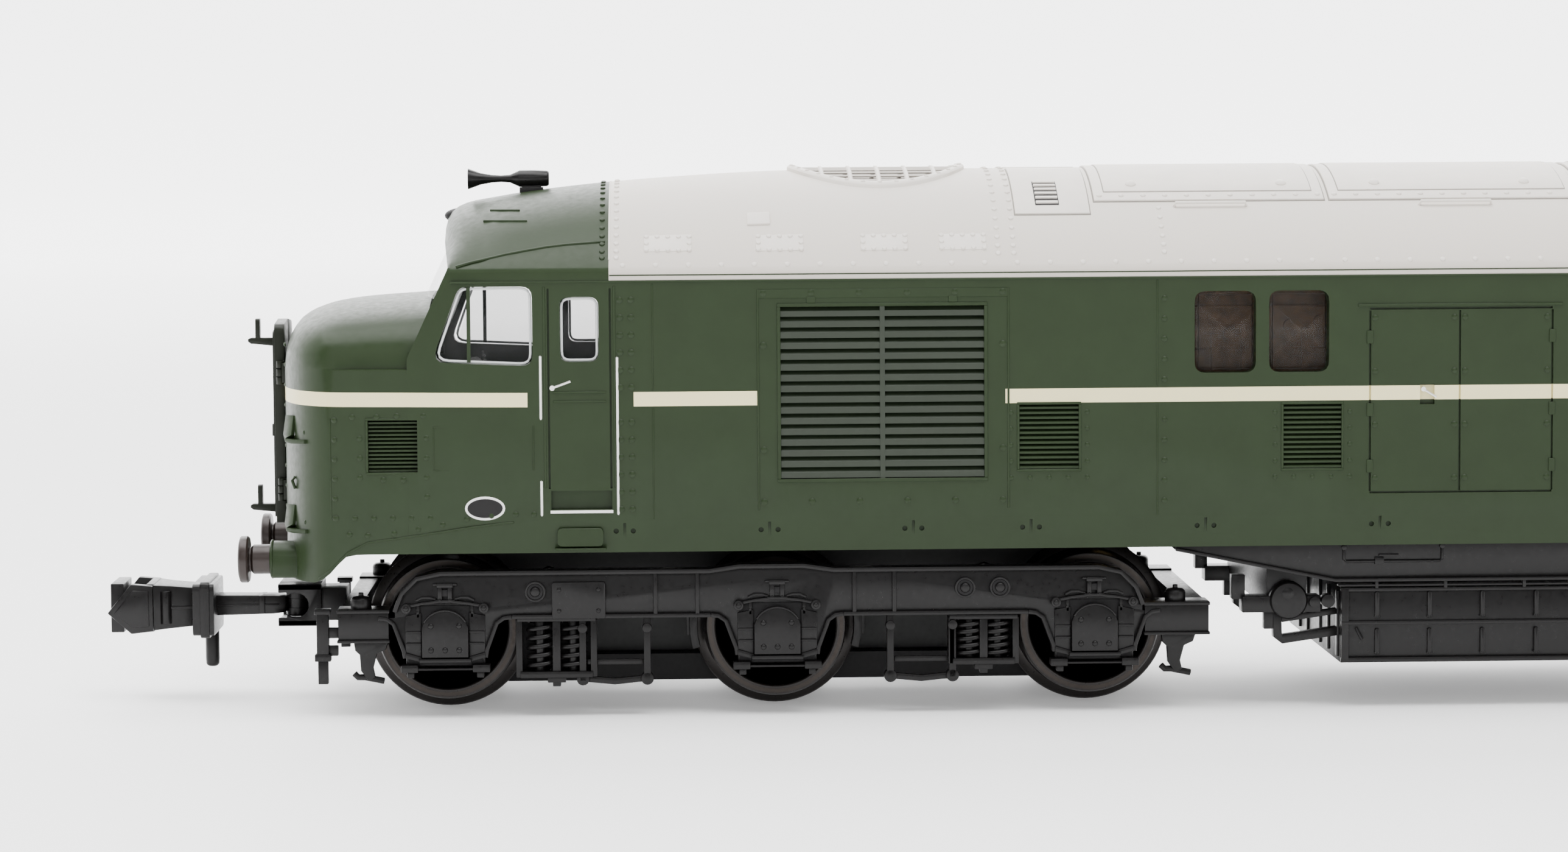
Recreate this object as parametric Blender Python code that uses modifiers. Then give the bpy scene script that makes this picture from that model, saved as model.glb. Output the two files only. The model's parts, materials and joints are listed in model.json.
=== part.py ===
"""Model diesel-electric locomotive, 1:148 scale: twin-nosed Co-Co, N gauge (9 mm track).

Frame: X along the locomotive (A end at -X), Y across, Z up.
The origin is at the middle of the locomotive, at the bottom of the wheel flanges.
All constants are in millimetres. The shapes are worked out at one unit to the millimetre, so that
cuts and unions stay exact on such small pieces, and every finished piece is scaled to metres at the end.
"""
import bpy
import bmesh
import math
from mathutils import Matrix, Vector

MM = 1.0          # working units per millimetre while modelling
TO_METRES = 0.001 # scale of the finished pieces

# ---------------------------------------------------------------- driving dimensions (mm)
BODY_HALF_W = 9.5          # half width over the body sides
SKIRT_Z = 8.24             # bottom edge of the body sides
RIDGE_Z = 9.8              # where the skirt starts to turn under
CANTRAIL_Z = 21.65         # top of the body sides
EAVE_Z = 22.35             # foot of the roof arc, above the rivet strip
CROWN_Z = 26.95            # roof crown
WALL = 0.8                 # body moulding wall
NOSE_END_X = 61.0          # front of the nose
SCREEN_X = 54.25           # base of the windscreen on the centre line
SCREEN_Z = 20.6
SIDE_SCREEN_Z = 17.9       # foot of the windscreen pillar at the cab side
BUFFER_FACE_X = 63.0
BUFFER_Y = 5.88
BUFFER_Z = 7.74
AXLE_Z = 4.13              # axle height = flange radius
FLANGE_R = 4.13
TREAD_R = 3.60
BACK_TO_BACK = 7.4
WHEEL_FACE_Y = 5.85
AXLES = (52.70, 36.23, 20.43)
PIVOT_X = 36.57            # bogie pivot
DRIVE_Z = 14.33            # motor, cardan shaft and worm axis
WORM_R = 1.25
WW_R, WW_Z = 2.20, 10.83   # worm wheel
AX_GEAR_R = 2.10
IDLER_R = 3.29
COUPLER_X = 60.72          # coupling pivot
COUPLER_Z = 4.88
COUPLER_TIP_X = 70.25

# ---------------------------------------------------------------- scene set-up
for o in list(bpy.data.objects):
    bpy.data.objects.remove(o, do_unlink=True)
for c in list(bpy.data.collections):
    bpy.data.collections.remove(c)
PARTS = bpy.data.collections.new("model_locomotive")
CUTS = bpy.data.collections.new("cutters")
for c in (PARTS, CUTS):
    bpy.context.scene.collection.children.link(c)


def material(name, rgb, rough, metal=0.0):
    m = bpy.data.materials.new(name)
    m.use_nodes = True
    b = m.node_tree.nodes["Principled BSDF"]
    b.inputs["Base Color"].default_value = (*rgb, 1.0)
    b.inputs["Roughness"].default_value = rough
    b.inputs["Metallic"].default_value = metal
    m.diffuse_color = (*rgb, 1.0)
    return m


GREEN = (0.030, 0.048, 0.022)
BLACK = (0.020, 0.018, 0.019)
GREY = (0.62, 0.60, 0.56)


def place(ob, col=PARTS):
    for c in list(ob.users_collection):
        c.objects.unlink(ob)
    col.objects.link(ob)
    return ob


def from_bm(name, bm, rgb=None, rough=0.5, metal=0.0, smooth=True, cutter=False):
    bmesh.ops.recalc_face_normals(bm, faces=bm.faces[:])
    me = bpy.data.meshes.new(name)
    bm.to_mesh(me)
    bm.free()
    ob = bpy.data.objects.new(name, me)
    place(ob, CUTS if cutter else PARTS)
    if smooth and len(me.polygons):
        me.shade_smooth()
        me.set_sharp_from_angle(angle=math.radians(35))
    if cutter:
        ob.hide_render = True
        ob.display_type = 'WIRE'
    else:
        me.materials.append(material(name + "_mat", rgb or BLACK, rough, metal))
    return ob


def add_box(bm, x0, x1, y0, y1, z0, z1):
    r = bmesh.ops.create_cube(bm, size=1.0)
    m = Matrix.Translation(((x0 + x1) / 2 * MM, (y0 + y1) / 2 * MM, (z0 + z1) / 2 * MM)) @ \
        Matrix.Diagonal((abs(x1 - x0) * MM, abs(y1 - y0) * MM, abs(z1 - z0) * MM, 1.0))
    bmesh.ops.transform(bm, matrix=m, verts=r["verts"])
    return r["verts"]


AX = {"x": Matrix.Rotation(math.radians(90), 4, 'Y'),
      "y": Matrix.Rotation(math.radians(-90), 4, 'X'),
      "z": Matrix.Identity(4)}


def add_cyl(bm, axis, c, r, length, seg=16, r2=None):
    """A cylinder or cone centred at c along axis; r2 is the radius at the + end."""
    g = bmesh.ops.create_cone(bm, cap_ends=True, segments=seg, radius1=r * MM,
                              radius2=(r if r2 is None else r2) * MM, depth=length * MM)
    m = Matrix.Translation(Vector(c) * MM) @ AX[axis]
    bmesh.ops.transform(bm, matrix=m, verts=g["verts"])
    return g["verts"]


def box(name, b, rgb=None, rough=0.5, metal=0.0, bevel=0.0, cutter=False):
    bm = bmesh.new()
    add_box(bm, *b)
    ob = from_bm(name, bm, rgb, rough, metal, smooth=False, cutter=cutter)
    if bevel:
        m = ob.modifiers.new("edge", 'BEVEL')
        m.width = bevel * MM
        m.segments = 1
    return ob


def cyl(name, axis, c, r, length, seg=16, rgb=None, rough=0.5, metal=0.0, cutter=False, r2=None):
    bm = bmesh.new()
    add_cyl(bm, axis, c, r, length, seg, r2)
    return from_bm(name, bm, rgb, rough, metal, cutter=cutter)


def turned(name, profile, axis, c, seg=16, rgb=None, rough=0.5, metal=0.0, cutter=False):
    """profile: (radius, height) from the top end of the axis down to the low end, both ends at radius 0."""
    me = bpy.data.meshes.new(name)
    vs = [(max(r, 0.0) * MM, 0.0, h * MM) for r, h in profile]
    me.from_pydata(vs, [(i, i + 1) for i in range(len(vs) - 1)], [])
    ob = bpy.data.objects.new(name, me)
    place(ob, CUTS if cutter else PARTS)
    ob.matrix_world = Matrix.Translation(Vector(c) * MM) @ AX[axis]
    s = ob.modifiers.new("turn", 'SCREW')
    s.angle = math.tau
    s.steps = seg
    s.render_steps = seg
    s.axis = 'Z'
    s.use_merge_vertices = True
    s.merge_threshold = 0.0001
    s.use_smooth_shade = True
    if cutter:
        ob.hide_render = True
        ob.display_type = 'WIRE'
    else:
        me.materials.append(material(name + "_mat", rgb or BLACK, rough, metal))
    return ob


def plate(name, pts, plane, t0, t1, rgb=None, rough=0.5, metal=0.0, cutter=False):
    """A flat outline as a filled 2D curve with thickness. plane 'xz': outline in X,Z and thickness along Y;
    plane 'yz': outline in Y,Z and thickness along X; plane 'xy': outline in X,Y and thickness along Z."""
    cu = bpy.data.curves.new(name, 'CURVE')
    cu.dimensions = '2D'
    cu.fill_mode = 'BOTH'
    cu.extrude = abs(t1 - t0) / 2 * MM
    sp = cu.splines.new('POLY')
    sp.points.add(len(pts) - 1)
    for p, (u, v) in zip(sp.points, pts):
        p.co = (u * MM, v * MM, 0.0, 1.0)
    sp.use_cyclic_u = True
    tmp = bpy.data.objects.new(name + "_outline", cu)
    bpy.context.scene.collection.objects.link(tmp)
    mid = (t0 + t1) / 2 * MM
    if plane == 'xz':
        tmp.matrix_world = Matrix.Translation((0, mid, 0)) @ Matrix.Rotation(math.radians(90), 4, 'X')
    elif plane == 'yz':
        tmp.matrix_world = Matrix.Translation((mid, 0, 0)) @ Matrix(((0, 0, 1, 0), (1, 0, 0, 0), (0, 1, 0, 0), (0, 0, 0, 1)))
    else:
        tmp.matrix_world = Matrix.Translation((0, 0, mid))
    bpy.context.view_layer.update()
    dg = bpy.context.evaluated_depsgraph_get()
    me = bpy.data.meshes.new_from_object(tmp.evaluated_get(dg))
    me.name = name
    bm = bmesh.new()
    bm.from_mesh(me)
    bmesh.ops.remove_doubles(bm, verts=bm.verts, dist=1e-4)
    bmesh.ops.transform(bm, matrix=tmp.matrix_world, verts=bm.verts)
    bpy.data.objects.remove(tmp, do_unlink=True)
    bpy.data.meshes.remove(me)
    return from_bm(name, bm, rgb, rough, metal, smooth=False, cutter=cutter)


def combine(ob, others, op='UNION'):
    """Boolean the other objects into ob; they move to the cutter collection."""
    for k in others:
        place(k, CUTS)
        k.hide_render = True
        k.display_type = 'WIRE'
        m = ob.modifiers.new(op.lower(), 'BOOLEAN')
        m.operation = op
        m.object = k
        m.solver = 'EXACT'
    return ob


# ---------------------------------------------------------------- body moulding
def lerp_table(tab, x):
    """Piecewise-linear table lookup; tab is a list of (x, value) in rising x."""
    if x <= tab[0][0]:
        return tab[0][1]
    for (a, va), (b, vb) in zip(tab, tab[1:]):
        if x <= b:
            return va + (vb - va) * (x - a) / (b - a)
    return tab[-1][1]


# roof crown height along the locomotive, by distance from the middle
CROWN = [(0, CROWN_Z), (34, CROWN_Z), (39, 26.75), (44.4, 26.42), (47.9, 26.05), (50.4, 25.72), (51.6, 25.45)]
CAB_HALF_W = [(0, BODY_HALF_W), (49.5, BODY_HALF_W), (52.0, 9.42), (54.3, 9.25)]


def screen_x(y, z):
    """Windscreen surface: leans back and sweeps round to the cab sides."""
    return SCREEN_X - 0.471 * (z - SCREEN_Z) - 1.45 * (min(abs(y), 9.3) / 8.8) ** 1.6


def section(w, crown, low, skirt_in=0.40, off=0.0, n=6):
    """Half outline (y, z) from the crown down to the bottom edge; off moves the wall inwards."""
    w -= off
    crown -= off
    eave = min(EAVE_Z, crown - 0.9) - off * 0.5
    we = w - 0.10
    d = crown - eave
    rc = (we * we + d * d) / (2 * d)
    a1 = math.asin(min(we / rc, 1.0))
    if d > we:
        a1 = math.pi - a1
    pts = []
    for i in range(n):
        a = a1 * i / (n - 1)
        pts.append((rc * math.sin(a), crown - rc + rc * math.cos(a)))
    pts.append((w, eave - 0.18))
    pts.append((w, SIDE_SCREEN_Z))
    pts.append((w, RIDGE_Z))
    pts.append((w - skirt_in, low))
    return pts


def loft(name, rows, cap_rows=None, **kw):
    """rows: list of stations, each a list of (x, y, z) for y >= 0, crown first, bottom edge last.
    The half is mirrored, the ends and the underside are closed."""
    bm = bmesh.new()
    grid = []
    for st in rows:
        right = [bm.verts.new((x * MM, y * MM, z * MM)) for x, y, z in st]
        left = [right[0] if y == 0 else bm.verts.new((x * MM, -y * MM, z * MM)) for x, y, z in st]
        grid.append(list(reversed(left))[:-1] + right)
    for a, b in zip(grid, grid[1:]):
        for i in range(len(a) - 1):
            bm.faces.new((a[i], a[i + 1], b[i + 1], b[i]))
        bm.faces.new((a[-1], a[0], b[0], b[-1]))
    for st in (grid[0], grid[-1]):
        n = len(st)
        for i in range(n // 2):
            quad = [st[i], st[i + 1], st[n - 2 - i], st[n - 1 - i]]
            u = []
            for v in quad:
                if v not in u:
                    u.append(v)
            if len(u) >= 3:
                bm.faces.new(u)
    bmesh.ops.triangulate(bm, faces=bm.faces[:])
    return from_bm(name, bm, **kw)


def body_rows(off=0.0, low=SKIRT_Z, drop=0.0):
    """Stations of the main body from the A-end windscreen to the B-end windscreen."""
    rows = []
    for s in (-1, 1):
        half = []
        # windscreen face: the outline swept on the leaning surface
        st = []
        for y, z in section(lerp_table(CAB_HALF_W, 54.0), 23.55, low, off=off):
            x = min(screen_x(y, z) if z >= SIDE_SCREEN_Z else 54.30, 54.30) - off * 1.1
            st.append((s * x, y, z - (drop if z > CANTRAIL_Z - 1 else 0)))
        half.append(st)
        # brow behind the windscreen top
        for dx, crown in ((0.25, 24.45), (0.75, 25.05)):
            st = []
            for y, z in section(lerp_table(CAB_HALF_W, 53.3), crown, low, off=off):
                x = min(screen_x(y, min(z, 23.5)) if z >= SIDE_SCREEN_Z else 54.30, 54.30) - dx - off * 1.1
                st.append((s * x, y, z))
            half.append(st)
        for x in (50.4, 47.9, 44.4, 34.0):
            st = [(s * (x - (off * 0.8 if x > 50 else 0)), y, z) for y, z in
                  section(lerp_table(CAB_HALF_W, x), lerp_table(CROWN, x), low, off=off)]
            half.append(st)
        rows.append(half)
    return rows[0] + list(reversed(rows[1]))


# nose stations: distance from the middle, half width, crown height, bottom edge
NOSE = [(53.6, 9.26, 20.80, 8.24), (57.4, 9.12, 20.53, 8.24), (58.3, 8.90, 20.38, 7.30),
        (59.1, 8.20, 20.16, 6.80), (59.8, 7.15, 19.85, 6.80), (60.4, 5.60, 19.25, 6.80),
        (60.75, 3.95, 18.45, 6.80), (61.0, 2.0, 17.60, 6.80)]


def nose_section(w, crown, low, off=0.0):
    w -= off
    crown -= off
    zs = min(17.38, crown - 1.2) - off * 0.4
    k = w - min(0.28, w * 0.1)
    pts = []
    for i in range(5):
        a = math.radians(90) * i / 4
        pts.append((k * math.sin(a) ** 0.85 if i else 0.0, zs + 0.12 + (crown - zs - 0.12) * math.cos(a) ** 0.62 if i < 4 else zs + 0.12))
    pts.append((w, zs))
    pts.append((w, 10.0))
    pts.append((w - 0.25, low))
    return pts


def nose(name, s, off=0.0, low=None, end=None, **kw):
    rows = []
    for x, w, c, lo in NOSE:
        if off:
            x = x - off if x > 58 else x
            if w - off < 1.0:
                continue
        if x < 54 and off:
            x = 52.6
        rows.append([(s * x, y, z) for y, z in nose_section(w, c, lo if low is None else low, off)])
    return loft(name, rows, **kw)


body = loft("body_shell", body_rows(), rgb=GREEN, rough=0.42)
combine(body, [nose("nose_a", -1, cutter=True), nose("nose_b", 1, cutter=True)])
# buffer housings moulded on the nose corners
for s in (-1, 1):
    for t in (-1, 1):
        combine(body, [cyl("buffer_housing_%d%d" % (s, t), 'x', (s * 60.2, t * BUFFER_Y, BUFFER_Z), 0.92, 2.5, 12,
                           cutter=True)])
# hollow inside
combine(body, [loft("hollow_body", body_rows(off=WALL, low=6.0), cutter=True)], 'DIFFERENCE')
for s in (-1, 1):
    combine(body, [nose("hollow_nose_%d" % s, s, off=WALL, low=5.5, cutter=True)], 'DIFFERENCE')


def window(name, pts, y0=-12, y1=12):
    return plate(name, pts, 'xz', y0, y1, cutter=True)


ENGINE_WINDOWS = [(-15.56, -12.52), (-11.87, -8.89), (8.89, 11.87), (12.52, 15.56)]
wins = []
for s in (-1, 1):
    wins.append(window("cab_window_%d" % s, [(s * 53.17, 17.80), (s * 48.2, 17.55), (s * 48.2, 21.40), (s * 51.79, 21.40)]))
    wins.append(window("door_window_%d" % s, [(s * 46.85, 17.70), (s * 44.95, 17.70), (s * 44.95, 20.88), (s * 46.85, 20.88)]))
    for t in (-1, 1):
        wins.append(plate("screen_%d%d" % (s, t), [(t * 0.45, 21.15), (t * 7.6, 20.75), (t * 7.3, 22.35), (t * 4.0, 23.0), (t * 0.45, 23.15)],
                          'yz', s * 51.5, s * 56.0, cutter=True))
for i, (a, b) in enumerate(ENGINE_WINDOWS):
    wins.append(window("engine_window_%d" % i, [(a, 16.9), (b, 16.9), (b, 20.93), (a, 20.93)]))
combine(body, wins, 'DIFFERENCE')

# ---------------------------------------------------------------- fittings on the body
for s, e in ((-1, "a"), (1, "b")):
    # gangway door plate with two lamp irons, standing proud of the nose front
    d = box("nose_door_" + e, (s * 61.10, s * 61.65, -2.35, 2.35, 9.2, 19.0), BLACK, 0.5)
    add = [box("ld%d%s%d" % (i, e, t), (s * 61.5, s * 61.95, t * 2.6 - 0.3, t * 2.6 + 0.3, z - 0.6, z + 0.6), cutter=True)
           for i, z in enumerate((10.93, 16.88)) for t in (-1, 1)]
    add = [box("hinge%d%s" % (i, e), (s * 61.12, s * 61.60, -2.75, -2.2, z - 0.6, z + 0.6), cutter=True)
           for i, z in enumerate((10.93, 16.88))]
    for i, z in enumerate((9.85, 18.39)):
        add.append(box("iron%d%s" % (i, e), (s * 61.4, s * 63.0, -0.35, 0.35, z - 0.14, z + 0.14), cutter=True))
        add.append(box("prong%d%s" % (i, e), (s * 62.42, s * 62.68, -0.35, 0.35, z - 0.05, z + 1.1), cutter=True))
    combine(d, add)
    # buffers
    for t, side in ((-1, "left"), (1, "right")):
        turned("buffer_%s_%s" % (e, side),
               [(0, 1.6), (0.78, 1.6), (1.17, 1.40), (1.17, 1.10), (0.95, 0.85), (0.42, 0.75), (0.42, -0.04), (0, -0.04)],
               'x', (s * 61.55, t * BUFFER_Y, BUFFER_Z), 12, (0.05, 0.035, 0.03), 0.45)
        if s < 0:
            bpy.data.objects["buffer_%s_%s" % (e, side)].matrix_world = \
                Matrix.Translation(Vector((s * 61.55, t * BUFFER_Y, BUFFER_Z)) * MM) @ Matrix.Rotation(math.radians(-90), 4, 'Y')
    # air horn on the cab roof
    h = turned("horn_" + e, [(0, 2.2), (0.54, 2.2), (0.30, 1.55), (0.20, 0.6), (0.36, -0.2), (0.42, -1.2), (0.24, -1.9), (0, -1.95)],
               'x', (s * 49.5, 0.0, 26.58), 10, BLACK, 0.4)
    if s < 0:
        h.matrix_world = Matrix.Translation(Vector((s * 49.5, 0, 26.58)) * MM) @ Matrix.Rotation(math.radians(-90), 4, 'Y')
    combine(h, [box("horn_foot_" + e, (s * 47.95, s * 48.95, -0.22, 0.22, 26.10, 26.6), cutter=True)])
    # cab interior: floor, desk, two seats and the rear bulkhead
    c = box("cab_interior_" + e, (s * 52.2, s * 44.3, -8.1, 8.1, 13.4, 14.2), (0.05, 0.05, 0.05), 0.7)
    combine(c, [box("bulk_" + e, (s * 44.6, s * 44.0, -8.0, 8.0, 13.5, 20.8), cutter=True),
                box("desk_" + e, (s * 52.1, s * 50.9, -7.4, 7.4, 13.8, 17.0), cutter=True),
                box("seat1_" + e, (s * 49.4, s * 47.9, -6.0, -3.9, 13.7, 16.2), cutter=True),
                box("seat2_" + e, (s * 49.4, s * 47.9, 3.9, 6.0, 13.7, 16.2), cutter=True),
                box("back1_" + e, (s * 48.4, s * 47.8, -5.9, -4.0, 13.8, 18.2), cutter=True),
                box("back2_" + e, (s * 48.4, s * 47.8, 4.0, 5.9, 13.8, 18.2), cutter=True)])
    # clear cab glazing: two side panes joined across the roof and the front
    g = box("cab_glazing_" + e, (s * 51.2, s * 44.75, -8.45, 8.45, 17.0, 21.5), (0.8, 0.85, 0.85), 0.08)
    combine(g, [box("gc_" + e, (s * 53.0, s * 44.0, -7.95, 7.95, 14.0, 21.0), cutter=True)], 'DIFFERENCE')

# engine room glazing and the printed machinery insert behind it
for t, side in ((-1, "left"), (1, "right")):
    box("side_glazing_" + side, (-16.4, 16.4, t * 8.10, t * 8.60, 16.3, 21.3), (0.5, 0.45, 0.35), 0.1)
    box("engine_insert_" + side, (-16.4, 16.4, t * 7.45, t * 7.75, 16.3, 21.3), (0.35, 0.27, 0.16), 0.6)
# roof fan grille: a ring with crossed bars, set in the roof
ring = cyl("roof_fan_grille", 'z', (-30.8, 0, 27.2), 4.5, 0.16, 20, GREY, 0.5)
combine(ring, [cyl("fan_hole", 'z', (-30.8, 0, 27.2), 4.05, 1.0, 20, cutter=True)], 'DIFFERENCE')
bars = [box("bar%d" % i, (-30.8 + k - 0.1, -30.8 + k + 0.1, -h, h, 27.13, 27.27), cutter=True)
        for i, (k, h) in enumerate([(-2.0, 3.8), (0, 4.3), (2.0, 3.8)])]
bars += [box("rung%d" % i, (-30.8 - h, -30.8 + h, k - 0.1, k + 0.1, 27.14, 27.26), cutter=True)
         for i, (k, h) in enumerate([(-2.0, 3.8), (0, 4.3), (2.0, 3.8)])]
combine(ring, bars)

# ---------------------------------------------------------------- chassis
def bay_list(tag):
    """Bays shared by both chassis halves: motor, flywheels, cardan shafts and bogie towers."""
    out = [box("motor_bay" + tag, (-10.2, 10.2, -5.4, 5.4, 9.9, 21.5), cutter=True)]
    for s in (-1, 1):
        out.append(box("fly_bay%s%d" % (tag, s), (s * 10.0, s * 20.3, -4.5, 4.5, 9.9, 21.5), cutter=True))
        out.append(box("cardan_bay%s%d" % (tag, s), (s * 20.0, s * 30.0, -1.9, 1.9, 9.0, 21.5), cutter=True))
        out.append(box("tower_bay%s%d" % (tag, s), (s * 28.4, s * 44.5, -4.3, 4.3, 8.0, 21.5), cutter=True))
        out.append(box("gear_bay%s%d" % (tag, s), (s * 23.0, s * 45.0, -4.7, 4.7, 9.0, 12.9), cutter=True))
    return out


for t, side in ((-1, "left"), (1, "right")):
    c = box("chassis_" + side, (-43.4, 43.4, t * 0.3, t * 7.0, 10.4, 19.6), (0.16, 0.16, 0.17), 0.6, 0.6)
    combine(c, bay_list(side), 'DIFFERENCE')

# motor: a flat can, open bore, with an end cap carrying the brushes
m = box("motor_can", (-7.6, 7.4, -5.0, 5.0, DRIVE_Z - 4.0, DRIVE_Z + 4.0), (0.45, 0.45, 0.46), 0.35, 0.9, bevel=0.5)
combine(m, [cyl("motor_bore", 'x', (0, 0, DRIVE_Z), 3.55, 20, 20, cutter=True)], 'DIFFERENCE')
for nm, s in (("motor_end_cap", 1),):
    m = box(nm, (7.6, 9.4, -4.8, 4.8, DRIVE_Z - 3.8, DRIVE_Z + 3.8), (0.12, 0.12, 0.12), 0.5)
    combine(m, [cyl("cap_bore", 'x', (8.4, 0, DRIVE_Z), 0.75, 6, 12, cutter=True)], 'DIFFERENCE')
# armature with its shaft
arm = [(0, 19.9), (0.5, 19.9), (0.5, 7.3), (1.4, 7.3), (1.4, 5.2), (0.9, 5.2), (0.9, 4.6), (3.2, 4.6), (3.2, -5.6),
       (0.9, -5.6), (0.9, -6.4), (0.5, -6.4), (0.5, -19.9), (0, -19.9)]
turned("motor_armature", arm, 'x', (0, 0, DRIVE_Z), 16, (0.45, 0.22, 0.10), 0.4, 0.6)
for s, e in ((-1, "a"), (1, "b")):
    f = cyl("flywheel_" + e, 'x', (s * 15.4, 0, DRIVE_Z), 3.9, 7.4, 24, (0.50, 0.40, 0.18), 0.3, 1.0)
    combine(f, [cyl("fly_bore_" + e, 'x', (s * 15.4, 0, DRIVE_Z), 0.62, 12, 12, cutter=True)], 'DIFFERENCE')
    turned("cardan_shaft_" + e, [(0, 4.3), (0.55, 4.3), (0.85, 3.9), (0.85, 3.5), (0.45, 3.1), (0.45, -3.1), (0.85, -3.5), (0.85, -3.9),
                                 (0.55, -4.3), (0, -4.3)], 'x', (s * 24.7, 0, DRIVE_Z), 12, (0.7, 0.7, 0.68), 0.5)
box("circuit_board", (-26.0, 26.0, -4.2, 4.2, 21.7, 22.4), (0.02, 0.10, 0.05), 0.4)

# underframe: tapered tank sides with the air reservoirs, and the battery box hanging from it
u = plate("underframe", [(-16.4, 8.0), (-8.36, 6.30), (8.36, 6.30), (16.4, 8.0), (14.0, 9.2), (-14.0, 9.2)], 'xz', -8.3, 8.3, BLACK, 0.5)
ext = []
for s, e in ((-1, "a"), (1, "b")):
    ext.append(box("hanger_" + e, (s * 11.6, s * 9.6, -4.8, 4.8, 4.9, 7.4), cutter=True))
    ext.append(cyl("reservoir_" + e, 'y', (s * 10.6, 0, 5.0), 0.95, 15.6, 12, cutter=True))
combine(u, ext)
combine(u, [box("motor_relief", (-10.4, 10.4, -5.6, 5.6, 8.9, 10.0), cutter=True)], 'DIFFERENCE')
b = box("battery_box", (-8.05, 8.05, -8.2, 8.2, 2.23, 6.0), BLACK, 0.5, bevel=0.15)

# ---------------------------------------------------------------- bogies
# side frame outline by distance from the middle of the locomotive, and height
FRAME = [(54.2, 7.3), (19.2, 7.3), (18.2, 6.6), (18.0, 5.4), (14.65, 5.4), (14.65, 3.8), (18.3, 3.8), (18.4, 2.4), (22.5, 2.4),
         (22.8, 5.0), (24.2, 4.9), (24.2, 2.2), (30.8, 1.9), (30.9, 5.0), (34.2, 5.0), (34.3, 2.4), (38.2, 2.4),
         (38.3, 5.0), (42.4, 5.0), (42.4, 1.9), (49.2, 2.2), (49.3, 5.0), (50.6, 5.0), (50.7, 2.4), (54.7, 2.4), (54.8, 3.8),
         (58.55, 3.8), (58.55, 1.6), (59.1, 1.6), (59.1, 5.4), (55.3, 5.4), (55.0, 6.6)]
# gear tower outlines by distance from the pivot, and height
TOWER = [(-18.0, 2.45), (18.0, 2.45), (18.0, 7.2), (13.6, 9.9), (8.6, 12.3), (6.4, 13.0), (6.4, 16.4),
         (-6.4, 16.4), (-6.4, 13.0), (-8.6, 12.3), (-13.6, 9.9), (-18.0, 7.2)]
TOWER_SLOT = [(-18.6, 1.9), (18.6, 1.9), (18.6, 6.5), (13.2, 9.2), (8.2, 11.6), (5.6, 12.4), (5.2, 13.4),
              (-5.2, 13.4), (-5.6, 12.4), (-8.2, 11.6), (-13.2, 9.2), (-18.6, 6.5)]


def wheel_profile(gear):
    half = [(0, 6.2), (0.5, 6.2), (0.5, 5.5), (2.95, 5.5), (3.10, 5.85), (3.52, 5.85),
            (TREAD_R, 4.40), (FLANGE_R, 4.12), (FLANGE_R, 3.84), (0.75, BACK_TO_BACK / 2)]
    if gear:
        half += [(0.75, 0.9), (AX_GEAR_R - 0.05, 0.9)]
    return half + [(r, -h) for r, h in reversed(half)]


def idler_profile(r, w):
    half = [(0, 1.85), (0.5, 1.85), (0.5, w), (r, w)]
    return half + [(a, -h) for a, h in reversed(half)]


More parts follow.
